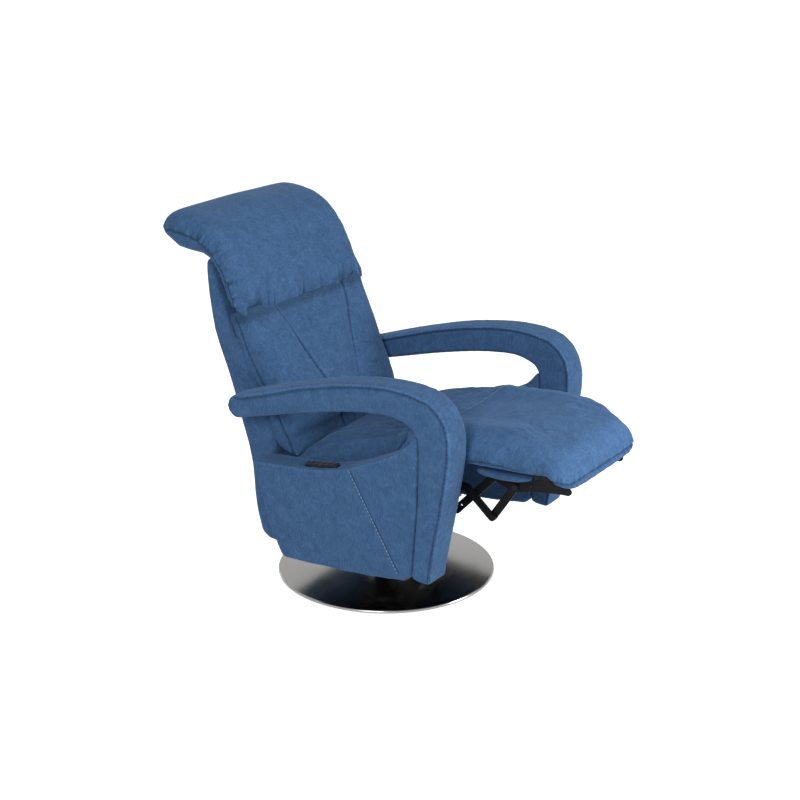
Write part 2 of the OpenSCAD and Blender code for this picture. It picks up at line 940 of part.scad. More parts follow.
// Rear shell: hollow in front for the frame, and below the hinge only a curved wall. Its sides are flat and turn
// into the rear over a round corner.
module back_shell() {
    pocket_x = upright_x + upright_w + 1;
    pocket_y = frame_rear + 0.4;
    z_steps = [-204, -188, -165, -110, -56, -20, 15, 40, 75, 123, 200, 288, frame_top + 0.5, frame_top + 1.5,
        head_z - 3, head_z + 38, head_z + 98, head_z + 148, head_z + 170, head_z + 179];
    front_y = [108, 106, 110, 106, 96, 74, 38, 14, 2, 2, 2, 2, 2, 14, 15, 15, 14, 14, 18, 26];
    rear_y = [137, 163, 172, 165, 151, 138, 127, 121, 115, 110, 101, 90, 86, 86, 84, 77, 62, 42, 36, 33];
    fill = [0.955, 0.985, 1, 1, 1, 1, 1, 1, 1, 1, 1, 1.02, 1.03, 1.03, 1.03, 1.02, 1.01, 1, 0.97, 0.91];
    color(fabric)
        on_back()
            skin([
                for (i = [0:len(z_steps) - 1])
                    let (
                        w = half_w * fill[i],
                        f = front_y[i],
                        r = rear_y[i],
                        z = z_steps[i],
                        deep = z < frame_top + 1 ? max(f, pocket_y) : f,
                        soft = min(8, (r - f) / 4),
                        turn = min(30, (r - f - soft) * 0.9),
                        corner = [for (a = [0:22.5:90]) [w - turn * (1 - cos(a)), r - turn * (1 - sin(a))]]
                    )
                        concat(
                            [[w, f + soft, z], [w - soft, f, z], [pocket_x, f, z], [pocket_x, deep, z]],
                            [[-pocket_x, deep, z], [-pocket_x, f, z], [soft - w, f, z], [-w, f + soft, z]],
                            [for (q = corner) [-q[0], q[1], z]],
                            [[-w / 2, r + 4, z], [w / 2, r + 4, z]],
                            [for (k = [len(corner) - 1:-1:0]) [corner[k][0], corner[k][1], z]]
                        )
            ]);
}

// Front cushion of the back, with two sewn channels that run together towards the seat. Its foot curls forward
// over the hinge, and its upper end is slanted to clear the headrest's roll.
module back_cushion() {
    steps_y = [-42, -36, -26, -15, -8, -6, -6, -6, -6, -6, -6, -6, -6, -6, -6, -6];
    steps_z = [8, 15, 25, 38, 55, 78, 110, 145, 180, 215, 250, 285, 312, 328, 339, 345];
    fill = [0.3, 0.66, 0.88, 0.97, 1, 1, 1, 1, 1, 1, 1, 1, 0.98, 0.96, 0.93, 0.88];
    flare = [0, 0, 0, 0, 0, 0, 0, 0, 0, 1, 4, 7, 9, 9, 9, 9];
    depth = [0.08, 0.24, 0.44, 0.61, 0.75, 0.88, 0.96, 1, 0.99, 0.96, 0.93, 0.91, 0.88, 0.83, 0.75, 0.62];
    push = [0, 0, 0, 0, 0, 0, 0, 0, 0, 0, 0, 0.12, 0.35, 0.58, 0.76, 0.85];
    m = len(steps_z) - 1;
    function seam(i) = (24 + 114 * steps_z[i] / back_h) / half_w;
    function half(i) = concat(
        [1, 0.988, 0.955, 0.91, 0.85, 0.77],
        [for (d = [18, 8, 0, -8, -18]) seam(i) + d / half_w],
        [(seam(i) - 18 / half_w) * 0.5]
    );
    color(fabric)
        on_back()
            stuffed(
                [for (i = [0:m]) [steps_y[i], steps_z[i] * back_h / 350]],
                [for (i = [0:m]) half_w - 16 * (1 - fill[i]) + flare[i]],
                [for (d = depth) back_crown * d],
                [for (f = fill) 7.5 * max(f, 0.7)],
                [for (d = depth) 4 * d],
                power = 16,
                slant = function (i) push[i],
                steps = function (i) both_ways(half(i), [0]),
                dent = function (x, i)
                    channel_d * min(1, 1.6 * depth[i]) * max(0, 1 - abs(abs(x) - seam(i) * half_w) / 16)
            );
}

// Headrest

head_hinge = [6, head_z];
head_pin_r = 3;
head_lug_x = 130;
head_lug_t = 6;
head_over = 11;

head_plate = [2.4, 6.4];
head_plate_z = [46, 144];

// Drawn from the headrest's hinge upwards
module on_head() {
    on_back()
        translate([0, 0, head_z])
            children();
}

module headrest_frame() {
    arm_x = head_lug_x - head_lug_t - 2;
    hinge = [head_hinge[0], 0];
    color(black)
        on_head() {
            box([-170, head_plate[0], head_plate_z[0]], [170, head_plate[1], head_plate_z[1]]);
            pair()
                at_x(arm_x, head_lug_t)
                    difference() {
                        union() {
                            round_bar(hinge, [head_hinge[0], head_plate_z[0] - 6], 10);
                            polygon([[1, 30], [11, 30], [head_plate[1] + 1, head_plate_z[0] + 1],
                                [head_plate[0], head_plate_z[0] + 1]]);
                        }
                        translate(hinge)
                            circle(head_pin_r + run_fit);
                    }
        }
}

module headrest_hinge_pins() {
    color(steel)
        on_back()
            pair() {
                rod_x(head_lug_x - 11, head_lug_x + head_lug_t + 3, head_hinge, head_pin_r);
                rod_x(head_lug_x + head_lug_t + 1, head_lug_x + head_lug_t + 3, head_hinge, head_pin_r + 2);
            }
}

// Headrest, which curls over the back's top
module headrest_cushion() {
    middle = [
        [-23, -32], [-24, -25], [-24, -16], [-23, 0], [-22, 23], [-26, 58], [-26, 93], [-19.5, 148], [-9, 182],
        [8, 212], [30, 238], [56, 258], [80, 272], [104, 283], [120, 290], [130, 294], [136, 297]
    ];
    front = [6, 11, 17, 26, 35, 41, 46, 49, 53, 55, 55, 55, 55, 51, 42, 28, 11];
    rear = [3, 7, 10, 14, 22, 28, 28, 21.5, 25, 39, 53, 58, 55, 39, 27, 16, 8];
    fill = [0.93, 0.965, 0.985, 1, 1, 1, 1, 1, 1, 1, 1, 1, 1, 0.99, 0.98, 0.965, 0.94];
    color(fabric)
        on_head()
            stuffed(
                [for (p = middle) [p[0] * (p[0] > 0 ? head_reach : 1), p[1]]],
                [for (f = fill) (half_w + head_over) * f],
                front,
                rear,
                [for (f = front) min(3, f / 4)],
                power = 16
            );
}

// Footrest

board_top = 446;
board_t = 10;
board_lap = 4;
board_half = layer(3) + link_t + board_lap;
board_y = [-600, -390];

module footrest_pad() {
    ends = [knee_roll * 0.35, knee_roll * 0.72, knee_roll * 0.94, knee_roll];
    roll_y = [for (a = [20, 46, 70, 90]) knee_y + knee_roll * cos(a)];
    over_board = (board_y[0] - 3 - knee_y) / -pad_l;
    reach = [1, 0.99, 0.965, 0.93, over_board + 0.012, over_board, 0.78, 0.66, 0.52, 0.37, 0.23, 0.1];
    middle = [456, 457, 461, 467, 474, 476, 488, 496, 498, 496, 493, 490];
    top = [10, 21, 33, 41, 47, 48, 51, 52, 47, 42, 38, 35];
    under = [20, 31, 38, 43, 45, 26, 36, 38, 38, 38, 38, 38];
    wide = [0, 0.1, 0.2, 0.33, 0.48, 0.5, 0.68, 0.86, 0.96, 1, 1, 1];
    knee_half = half_w - 16;
    m = len(reach) - 1;
    on_board = [5, 9];
    function lift(i) = middle[i] + pad_rise * reach[i];
    path = concat(
        [for (i = [0:m]) [knee_y - pad_l * reach[i], lift(i)]],
        [for (i = [3:-1:0]) [roll_y[i], knee_z]]
    );
    function slope(i) = i > m ? 0 : heading(path, i)[1] / heading(path, i)[0];
    function to_board(i) = (lift(i) - board_top - seat_fit) * heading(path, i)[0];
    color(fabric)
        stuffed(
            path,
            concat([for (w = wide) nose_half + (knee_half - nose_half) * w], [for (i = [3:-1:0]) knee_half]),
            concat([for (t = top) t], [for (i = [3:-1:0]) ends[i]]),
            concat([for (d = under) d], [for (i = [3:-1:0]) ends[i]]),
            concat([for (t = top) 0.08 * t], [0, 0, 0, 0]),
            power = 7,
            slant = function (i) slope(i),
            sag = function (i) i < on_board[0] || i > on_board[1] ? 0 : to_board(i) - under[i]
        );
}

module footrest_board() {
    corner = 24;
    color("burlywood")
        translate([0, 0, board_top - board_t])
            linear_extrude(board_t)
                polygon([
                    [-board_half, board_y[1]], [-board_half, board_y[0] + corner], [corner - board_half, board_y[0]],
                    [board_half - corner, board_y[0]], [board_half, board_y[0] + corner], [board_half, board_y[1]]
                ]);
}

// Upholstered rolls that close the pad's underside beside the board
module footrest_side_rolls() {
    ys = [-548, -542, -520, -470, -420, -402, -396];
    half = [3, 6, 9, 12, 11, 8, 3];
    roll_w = 24;
    color(fabric)
        pair()
            translate([board_half + roll_w + seat_fit, 0, 0])
                stuffed(
                    [for (i = [0:len(ys) - 1]) [ys[i], board_top + 2 - half[i] * 0.8]],
                    [for (h = half) roll_w * min(1, h / 8)],
                    [for (h = half) h * 0.8],
                    [for (h = half) h],
                    [for (h = half) 0],
                    steps = function (i) both_ways([1, 0.9, 0.55], [])
                );
}

// Linkage, in layers counted inwards from the side plates

function layer(k) = mech_x - k * (link_t + link_gap);

module on_layer(k) {
    pair()
        at_x(layer(k), link_t)
            children();
}

module link(points, bores) {
    difference() {
        for (i = [0:len(points) - 2])
            round_bar(points[i], points[i + 1], link_w);
        for (b = bores)
            translate(b[0])
                circle(b[1] + run_fit);
    }
}

module front_cranks() {
    color(black)
        on_layer(1)
            link([front_crank_pivot, front_bend, front_elbow], [[front_crank_pivot, rivet_r], [front_elbow, rivet_r]]);
}

module front_couplers() {
    color(black)
        on_layer(2)
            link([front_elbow, front_pin], [[front_elbow, rivet_r], [front_pin, rivet_r]]);
}

module rear_cranks() {
    color(black)
        on_layer(3)
            link([rear_crank_pivot, rear_elbow], [[rear_crank_pivot, tube_r], [rear_elbow, rivet_r]]);
}

module rear_couplers() {
    color(black)
        on_layer(2)
            link(
                [rear_elbow, rear_pin],
                [[rear_elbow, rivet_r], [rear_pin, rivet_r], [rear_elbow + unit(rear_coupler_v) * 22, 3]]
            );
}

module footrest_torque_tube() {
    color(black)
        rod_x(-mech_x - mech_t - 2, mech_x + mech_t + 2, rear_crank_pivot, tube_r);
    color(black)
        mirror([1, 0, 0])
            lever(rear_crank_pivot, turned([0, -1], -fold_half), foot_lever, fold_half);
}

module rivet(p, inner, outer) {
    head_t = 1.4;
    pair() {
        rod_x(inner - head_t - seat_fit, outer, p, rivet_r);
        rod_x(inner - head_t - seat_fit, inner - seat_fit, p, rivet_r + 3);
        rod_x(outer, outer + head_t, p, rivet_r + 3);
    }
}

module front_pivot_rivets() {
    color(steel)
        rivet(front_crank_pivot, layer(1), mech_x + mech_t);
}

module front_elbow_rivets() {
    color(steel)
        rivet(front_elbow, layer(2), layer(1) + link_t);
}

module rear_elbow_rivets() {
    color(steel)
        rivet(rear_elbow, layer(3), layer(2) + link_t);
}

module bracket_rivets() {
    color(steel) {
        rivet(front_pin, layer(3), layer(2) + link_t);
        rivet(rear_pin, layer(3), layer(2) + link_t);
    }
}

// Pressed arms under the footrest, with a waved upper edge and a rounded nose
module footrest_brackets() {
    nose = [-632, 417];
    under = board_top - board_t;
    color(grey) {
        on_layer(3)
            difference() {
                union() {
                    round_bar(rear_pin, front_pin, 28);
                    polygon([
                        [-438, 400], [-470, 386], [-500, 388], [-544, 399], [-606, 406], nose + [-2, -10],
                        nose + [2, 10], [-590, under - 1], [-566, under - seat_fit], [-548, under - 4], [-530, 421],
                        [-514, 418], [-500, 426], [-486, 414], [-440, 432]
                    ]);
                    translate(nose)
                        circle(10);
                    polygon([[-440, 405], [-440, under - seat_fit], [-412, under - seat_fit], [-416, 420]]);
                }
                translate(rear_pin)
                    circle(rivet_r + run_fit);
                translate(front_pin)
                    circle(rivet_r + run_fit);
                translate([-532, 408])
                    circle(4);
            }
        pair()
            for (y = [[-590, -552], [-440, -412]])
                box([layer(3) - 22, y[0], under - seat_fit - 3], [layer(3) + 0.5, y[1], under - seat_fit]);
    }
}

base_cover();
base_weight();
base_glides();
centre_column();
column_bolts();
bearing_lower_race();
bearing_balls();
bearing_upper_race();
swivel_plate();
swivel_bolts();
cross_rails();
mechanism_plates();
spreader_tubes();
seat_deck();
seat_cushion();
arm_band_left();
arm_band_right();
side_panel_left();
side_panel_right();
control_housing();
button_1();
button_2();
button_3();
button_4();
button_5();
footrest_drive();
footrest_carriage();
recline_drive();
recline_carriage();
back_uprights();
back_crossbars();
back_hinge_plates();
back_belts();
back_torque_tube();
back_shell();
back_cushion();
headrest_frame();
headrest_hinge_pins();
headrest_cushion();
footrest_pad();
footrest_board();
footrest_side_rolls();
footrest_brackets();
front_cranks();
front_couplers();
rear_cranks();
rear_couplers();
footrest_torque_tube();
front_pivot_rivets();
front_elbow_rivets();
rear_elbow_rivets();
bracket_rivets();
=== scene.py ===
# %% [markdown]
# Swivel recliner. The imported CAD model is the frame: it holds every metal and plastic piece at its real size. This
# script dresses that frame. Each upholstered piece is made again as stuffed velour, with its seams, gathers and
# stitches, and each carried-over piece gets its finish. All lengths are in metres, in the frame's own axes: +Z up,
# the chair faces -Y, and +X is the sitter's left.

# %% Load the frame
import json
import math

import bpy
import numpy as np
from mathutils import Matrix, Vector
from mathutils.bvhtree import BVHTree


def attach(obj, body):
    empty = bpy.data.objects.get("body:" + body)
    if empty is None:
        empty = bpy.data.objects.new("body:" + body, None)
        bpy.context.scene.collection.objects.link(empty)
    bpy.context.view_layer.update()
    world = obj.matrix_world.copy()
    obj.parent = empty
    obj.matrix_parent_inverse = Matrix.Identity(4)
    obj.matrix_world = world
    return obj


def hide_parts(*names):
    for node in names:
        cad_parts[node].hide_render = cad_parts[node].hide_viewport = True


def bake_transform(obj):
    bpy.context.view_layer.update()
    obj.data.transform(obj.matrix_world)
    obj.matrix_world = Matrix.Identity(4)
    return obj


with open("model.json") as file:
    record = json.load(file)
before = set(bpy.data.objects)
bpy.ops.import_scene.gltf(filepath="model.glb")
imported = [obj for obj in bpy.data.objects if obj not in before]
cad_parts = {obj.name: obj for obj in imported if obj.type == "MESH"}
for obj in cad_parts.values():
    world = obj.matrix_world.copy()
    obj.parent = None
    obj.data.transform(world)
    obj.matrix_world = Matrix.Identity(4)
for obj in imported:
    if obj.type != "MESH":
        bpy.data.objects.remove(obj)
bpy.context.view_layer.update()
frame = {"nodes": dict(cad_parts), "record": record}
nodes = frame["nodes"]
scene = bpy.context.scene
MM = 0.001

# %% [markdown]
# The camera comes first. Its direction, distance and focal length were solved from the photograph: the base's circle
# on the floor gives the height of the eye, and the chair's parallel edges give the lens. The small shift puts the
# optical axis where the photograph has it.

# %% Camera
AZIMUTH, ELEVATION, DISTANCE = -56.58, 18.60, 4.445
TARGET = Vector((0, -0.0124, 0.5059))
LENS_MM, SENSOR_MM = 73.85, 36
SHIFT = (0.0125, -0.0025)

turn, rise = math.radians(AZIMUTH), math.radians(ELEVATION)
back_to_eye = Vector((math.sin(turn) * math.cos(rise), -math.cos(turn) * math.cos(rise), math.sin(rise)))
camera = bpy.data.objects.new("camera", bpy.data.cameras.new("camera"))
scene.collection.objects.link(camera)
camera.location = TARGET + DISTANCE * back_to_eye
camera.rotation_euler = (-back_to_eye).to_track_quat("-Z", "Y").to_euler()
camera.data.lens = LENS_MM
camera.data.sensor_width = SENSOR_MM
camera.data.shift_x, camera.data.shift_y = SHIFT
scene.camera = camera
print("camera at", [round(v, 3) for v in camera.location])

# %% [markdown]
# Node materials are built by one small function, so that each material below reads as a list of nodes with their
# settings. Colours are written as sRGB hex values, as a picture shows them, and turned to linear here.

# %% Colour and node helpers
def linear(code, alpha=1.0):
    """A hex colour as a picture shows it, as Blender's linear RGBA."""
    srgb = [int(code[i : i + 2], 16) / 255 for i in (1, 3, 5)]
    return [c / 12.92 if c <= 0.04045 else ((c + 0.055) / 1.055) ** 2.4 for c in srgb] + [alpha]


def add(tree, kind, inputs=None, **settings):
    """Adds a node. inputs maps a socket's name or number to a value, or to another node's output."""
    node = tree.nodes.new(kind)
    for key, value in settings.items():
        setattr(node, key, value)
    for key, value in (inputs or {}).items():
        if isinstance(value, bpy.types.NodeSocket):
            tree.links.new(value, node.inputs[key])
        else:
            node.inputs[key].default_value = value
    return node


def new_material(name):
    """An empty node material, and its tree."""
    material = bpy.data.materials.new(name)
    material.use_nodes = True
    material.node_tree.nodes.clear()
    return material, material.node_tree


def finish_material(tree, shader):
    add(tree, "ShaderNodeOutputMaterial", {"Surface": shader.outputs[0]})


print("a mid grey of #808080 is", round(linear("#808080")[0], 3), "in linear light")

# %% [markdown]
# Microfibre velour. It is a knitted polyester cloth with a short pile, brushed and then sanded. The pile leans one way
# or another in patches, so the eye sees soft clouds of lighter and darker blue, with fine streaks where a hand has
# passed. Seen edge on, the fibres' tips catch light: that is the sheen. The pile itself is about 0.4 mm apart, too
# fine for the picture, so its grain is drawn at 1.6 mm. Pressed together in a seam or a crease the pile looks darker,
# and rubbed on an edge or a fold's back it looks lighter. Each cover keeps that in an attribute from -1 to 1, which
# the material reads. The same attribute also carries painted shade, in seams, creases, under the headrest's lip and
# over the whole seat. It also carries painted highlights, on crests, on edges, on the footrest's nose and top and on
# the headrest's lower front.

# %% Velour
CLOUD = 32 * MM
STREAK = 9 * MM
PILE = 1.6 * MM
STREAK_SHARE, PILE_SHARE = 0.6, 0.34
NAP_STEPS = (0.36, 0.5, 0.66)
SHADE_AND_WEAR_GAIN = 0.55


def velour(name, dark, mid, light):
    material, tree = new_material(name)
    place = add(tree, "ShaderNodeTexCoord").outputs["Object"]
    clouds = add(tree, "ShaderNodeTexNoise", {"Vector": place, "Scale": 1 / CLOUD, "Detail": 4, "Roughness": 0.62,
                                              "Distortion": 0.8})
    combed = add(tree, "ShaderNodeMapping", {"Vector": place, "Rotation": (0.5, 0.3, 0.9), "Scale": (1, 2.6, 0.8)})
    streaks = add(tree, "ShaderNodeTexNoise", {"Vector": combed.outputs[0], "Scale": 1 / STREAK, "Detail": 5,
                                               "Roughness": 0.7})
    pile = add(tree, "ShaderNodeTexNoise", {"Vector": place, "Scale": 1 / PILE, "Detail": 2, "Roughness": 0.6})
    nap = add(tree, "ShaderNodeMix", {0: STREAK_SHARE, 2: clouds.outputs[0], 3: streaks.outputs[0]})
    nap_and_pile = add(tree, "ShaderNodeMix", {0: PILE_SHARE, 2: nap.outputs[0], 3: pile.outputs[0]})
    colour = add(tree, "ShaderNodeValToRGB", {0: nap_and_pile.outputs[0]})
    ramp = colour.color_ramp
    ramp.elements[0].position, ramp.elements[0].color = NAP_STEPS[0], linear(dark)
    ramp.elements[1].position, ramp.elements[1].color = NAP_STEPS[2], linear(light)
    ramp.elements.new(NAP_STEPS[1]).color = linear(mid)
    # The point attribute read here holds painted shade and painted highlights along with the pile's wear, and it
    # darkens or lightens the colour.
    shade_and_wear = add(tree, "ShaderNodeAttribute", attribute_name="shade_and_wear")
    gain = add(tree, "ShaderNodeMath", {0: shade_and_wear.outputs["Fac"], 1: SHADE_AND_WEAR_GAIN, 2: 1.0},
               operation="MULTIPLY_ADD")
    shaded_and_worn = add(tree, "ShaderNodeHueSaturation", {"Value": gain.outputs[0], "Color": colour.outputs[0]})
    hair = add(tree, "ShaderNodeBump", {"Strength": 0.35, "Distance": 0.5 * MM, "Height": pile.outputs[0]})
    lay = add(tree, "ShaderNodeBump", {"Strength": 0.3, "Distance": 1.2 * MM, "Height": streaks.outputs[0],
                                       "Normal": hair.outputs[0]})
    shader = add(tree, "ShaderNodeBsdfPrincipled", {
        "Base Color": shaded_and_worn.outputs[0], "Roughness": 0.92, "Normal": lay.outputs[0], "Specular IOR Level": 0.2,
        "Sheen Weight": 0.25, "Sheen Roughness": 0.45, "Sheen Tint": linear("#8FB0D6")})
    finish_material(tree, shader)
    return material


VELOUR = velour("blue_microfibre_velour", "#304D72", "#3F6088", "#5077A3")
print("velour with a grain of", PILE / MM, "mm")

# %% [markdown]
# Spun stainless steel. The dome of the base was pressed to shape and brushed while it turned, so its scratches are
# rings round the swivel axis. Rings stretch a reflection across themselves, into the fans of light that the eye knows
# from a pan's bottom. The scratches are 0.1 mm wide, and are drawn at 1.2 mm so that they show.

# %% Stainless steel
SCRATCH = 1.2 * MM


def spun_stainless():
    material, tree = new_material("brushed_stainless_steel")
    place = add(tree, "ShaderNodeTexCoord").outputs["Object"]
    flat = add(tree, "ShaderNodeVectorMath", {0: place, 1: (1, 1, 0)}, operation="MULTIPLY")
    radius = add(tree, "ShaderNodeVectorMath", {0: flat.outputs[0]}, operation="LENGTH")
    rings = add(tree, "ShaderNodeTexNoise", {"W": radius.outputs["Value"], "Scale": 1 / SCRATCH, "Detail": 3},
                noise_dimensions="1D")
    blots = add(tree, "ShaderNodeTexNoise", {"Vector": place, "Scale": 12, "Detail": 3})
    shade_and_wear = add(tree, "ShaderNodeMix", {0: 0.4, 2: rings.outputs[0], 3: blots.outputs[0]})
    rough = add(tree, "ShaderNodeMapRange", {0: shade_and_wear.outputs[0], 1: 0.3, 2: 0.7, 3: 0.13, 4: 0.21})
    tone = add(tree, "ShaderNodeValToRGB", {0: rings.outputs[0]})
    tone.color_ramp.elements[0].color = linear("#7F7E7C")
    tone.color_ramp.elements[1].color = linear("#A2A19F")
    bump = add(tree, "ShaderNodeBump", {"Strength": 0.12, "Distance": 0.05 * MM, "Height": rings.outputs[0]})
    along = add(tree, "ShaderNodeTangent", axis="Z", direction_type="RADIAL")
    shader = add(tree, "ShaderNodeBsdfPrincipled", {
        "Base Color": tone.outputs[0], "Metallic": 1.0, "Roughness": rough.outputs[0], "Anisotropic": 0.6,
        "Normal": bump.outputs[0], "Tangent": along.outputs[0]})
    finish_material(tree, shader)
    return material


STAINLESS = spun_stainless()
print("stainless steel with", round(MM / SCRATCH, 2), "scratches to the millimetre")

# %% [markdown]
# Plain finishes. Powder coat is a baked paint with a fine orange peel and little gloss. Zinc plate is thin, bright and
# slightly cloudy, and the linkage's rivets are blackened in oil instead. Nylon, ABS and the cloth-faced board are
# dull. All of them are one colour with small changes of tone and gloss, so one function makes them from two tones,
# the size and depth of their grain, and how rough, metallic and glossy they are.

# %% Plain finishes
PATCH = 40 * MM
GLOSS_SPREAD = 0.06


def plain(name, dark, light, grain, roughness, depth, metallic=0.0, gloss=0.5):
    """A finish whose colour, gloss and surface vary over a grain of that size in metres, with bumps that deep."""
    material, tree = new_material(name)
    place = add(tree, "ShaderNodeTexCoord").outputs["Object"]
    spots = add(tree, "ShaderNodeTexNoise", {"Vector": place, "Scale": 1 / grain, "Detail": 3})
    patches = add(tree, "ShaderNodeTexNoise", {"Vector": place, "Scale": 1 / PATCH, "Detail": 3})
    both = add(tree, "ShaderNodeMix", {0: 0.5, 2: spots.outputs[0], 3: patches.outputs[0]})
    colour = add(tree, "ShaderNodeValToRGB", {0: both.outputs[0]})
    colour.color_ramp.elements[0].position, colour.color_ramp.elements[0].color = 0.35, linear(dark)
    colour.color_ramp.elements[1].position, colour.color_ramp.elements[1].color = 0.65, linear(light)
    rough = add(tree, "ShaderNodeMapRange",
                {0: patches.outputs[0], 1: 0.3, 2: 0.7, 3: roughness - GLOSS_SPREAD, 4: roughness + GLOSS_SPREAD})
    bump = add(tree, "ShaderNodeBump", {"Strength": 0.4, "Distance": depth, "Height": spots.outputs[0]})
    shader = add(tree, "ShaderNodeBsdfPrincipled", {
        "Base Color": colour.outputs[0], "Metallic": metallic, "Roughness": rough.outputs[0],
        "Normal": bump.outputs[0], "Specular IOR Level": gloss})
    finish_material(tree, shader)
    return material


POWDER_COAT = plain("black_powder_coat", "#0C0C0D", "#151517", 1.5 * MM, 0.48, 0.10 * MM, gloss=0.15)
ZINC = plain("zinc_plated_steel", "#B9BABD", "#D6D7D8", 3 * MM, 0.3, 0.02 * MM, 1.0)
NYLON = plain("black_nylon", "#161617", "#202022", 1.2 * MM, 0.6, 0.06 * MM)
ABS = plain("moulded_abs_plastic", "#1B1B1D", "#262628", 1.0 * MM, 0.5, 0.08 * MM)
ABS_GREY = plain("moulded_abs_plastic_grey", "#37383B", "#434447", 0.8 * MM, 0.45, 0.06 * MM)
FACED_BOARD = plain("plywood_faced_with_black_cloth", "#17171A", "#232327", 1.4 * MM, 0.9, 0.25 * MM)
WEBBING = plain("elastic_webbing", "#1C1C1F", "#2A2A2E", 1.8 * MM, 0.85, 0.3 * MM)
WEIGHT_PAINT = plain("black_stove_enamel", "#101011", "#18181A", 2 * MM, 0.4, 0.05 * MM)
BLACK_STEEL = plain("blackened_steel", "#111113", "#1B1B1D", 2 * MM, 0.42, 0.03 * MM, gloss=0.25)

FINISH_OF_SLOT = {
    "cover": STAINLESS, "black_paint": POWDER_COAT, "weight": WEIGHT_PAINT, "glide": NYLON, "bright_steel": ZINC,
    "board": FACED_BOARD, "velour": VELOUR, "webbing": WEBBING, "drive_plastic": ABS, "button_plastic": ABS_GREY,
}
BLACKENED = ("front_elbow_rivets", "rear_elbow_rivets", "bracket_rivets")
slot_of_node = {s["node"]: s["material_slot"] for s in frame["record"]["subparts"]}
for name, obj in nodes.items():
    obj.data.materials.clear()
    obj.data.materials.append(FINISH_OF_SLOT[slot_of_node[name]])
for name in BLACKENED:
    nodes[name].data.materials[0] = BLACK_STEEL
print("finishes on the frame:", len({obj.data.materials[0].name for obj in nodes.values()}))

# %% [markdown]
# The upholstery starts from the CAD solids, which hold the foam's shape. A voxel remesh turns each solid's long thin
# faces into an even skin of small squares, because only an even skin can swell, crease and pucker like cloth. A
# modifier's result is taken from Blender's evaluated copy, so that no modifier is left on the piece.

# %% Skin helpers
VOXEL = 6 * MM


def new_object(name, verts, faces):
    """A mesh object in the scene, from its corners and faces."""
    mesh = bpy.data.meshes.new(name)
    mesh.from_pydata(verts, [], faces)
    obj = bpy.data.objects.new(name, mesh)
    scene.collection.objects.link(obj)
    return obj


def dress(obj, material):
    """Gives the whole object one material and smooth shading."""
    obj.data.materials.clear()
    obj.data.materials.append(material)
    obj.data.polygons.foreach_set("use_smooth", [True] * len(obj.data.polygons))


def apply(obj, kind, **settings):
    """Gives the object a modifier's result as its own mesh."""
    modifier = obj.modifiers.new(kind.lower(), kind)
    for key, value in settings.items():
        setattr(modifier, key, value)
    bpy.context.view_layer.update()
    done = bpy.data.meshes.new_from_object(obj.evaluated_get(bpy.context.evaluated_depsgraph_get()))
    obj.modifiers.clear()
    obj.data = done


def skin(name, node, rounds, voxel=VOXEL):
    """An even, closed copy of a CAD node's surface. It settles for some rounds, so that no facet shows through."""
    obj = bpy.data.objects.new(name, nodes[node].data.copy())
    scene.collection.objects.link(obj)
    apply(obj, "REMESH", mode="VOXEL", voxel_size=voxel, use_smooth_shade=True)
    apply(obj, "SMOOTH", factor=0.5, iterations=rounds)
    return obj


def refine(obj):
    """Splits each face in four, so that the skin can hold narrow seams."""
    apply(obj, "SUBSURF", levels=1)


print("skins of", VOXEL / MM, "mm squares")

# %% [markdown]
# A skin is then shaped by moving its points. Reading and writing them all at once as a numpy array is fast, and each
# move below is one line of arithmetic on the whole array. Most moves go along the normals, as cloth swells or sinks.

# %% Moving a skin's points
WIDTH_STEP = 6 * MM


def points(obj):
    co = np.empty(len(obj.data.vertices) * 3)
    obj.data.vertices.foreach_get("co", co)
    return co.reshape(-1, 3)


def outward(obj):
    n = np.empty(len(obj.data.vertices) * 3)
    obj.data.vertex_normals.foreach_get("vector", n)
    return n.reshape(-1, 3)


def place(obj, co):
    obj.data.vertices.foreach_set("co", np.ascontiguousarray(co).ravel())
    obj.data.update()


def swell(obj, amount):
    """Moves every point out along its normal by its own amount, in metres."""
    place(obj, points(obj) + outward(obj) * np.asarray(amount)[:, None])


def widened(across, along, wanted, how_much):
    """Scales a piece's width so that at each place along it the half width is the wanted one, as far as how_much."""
    slot = ((along - along.min()) / WIDTH_STEP).astype(int)
    half = np.zeros(slot.max() + 1)
    np.maximum.at(half, slot, np.abs(across))
    here = np.interp(along, along.min() + (np.arange(len(half)) + 0.5) * WIDTH_STEP, half)
    return across * (1 + (wanted / here - 1) * how_much)


print("widths are read every", WIDTH_STEP / MM, "mm")

# %% [markdown]
# Seams are where most of the shape of an upholstered piece comes from. A seam is a line, so each one below is a list
# of points, and one function finds how far along that line every point of the skin is, and how far beside it. Folds
# and puckers are irregular, so they come from smooth noise on a lattice with a fixed seed: the same on every run.

# %% Lines and folds
LATTICE = 64
CREASE_WIDTH = 0.16


def beside(line, p, q):
    """For points (p, q): the length along a line of points, and the distance from it, positive on its left."""
    line = np.array(line)
    start, step = line[:-1], np.diff(line, axis=0)
    length = np.hypot(step[:, 0], step[:, 1])
    before = np.concatenate([[0], np.cumsum(length)[:-1]])
    away = np.stack([p, q], 1)[:, None] - start
    t = np.clip((away * step).sum(2) / length**2, 0, 1)
    off = away - t[..., None] * step
    far = np.hypot(off[..., 0], off[..., 1])
    k = far.argmin(1)
    row = np.arange(len(p))
    side = np.sign(step[k, 0] * away[row, k, 1] - step[k, 1] * away[row, k, 0])
    return before[k] + t[row, k] * length[k], side * far[row, k]


def groove(distance, width):
    """1 on a line, and 0 a little more than its width away."""
    return np.exp(-((distance / width) ** 2))


def fade(value, start, end):
    """1 before start, 0 after end, and smooth between them. end may be the lower one."""
    t = np.clip((value - end) / (start - end), 0, 1)
    return t * t * (3 - 2 * t)


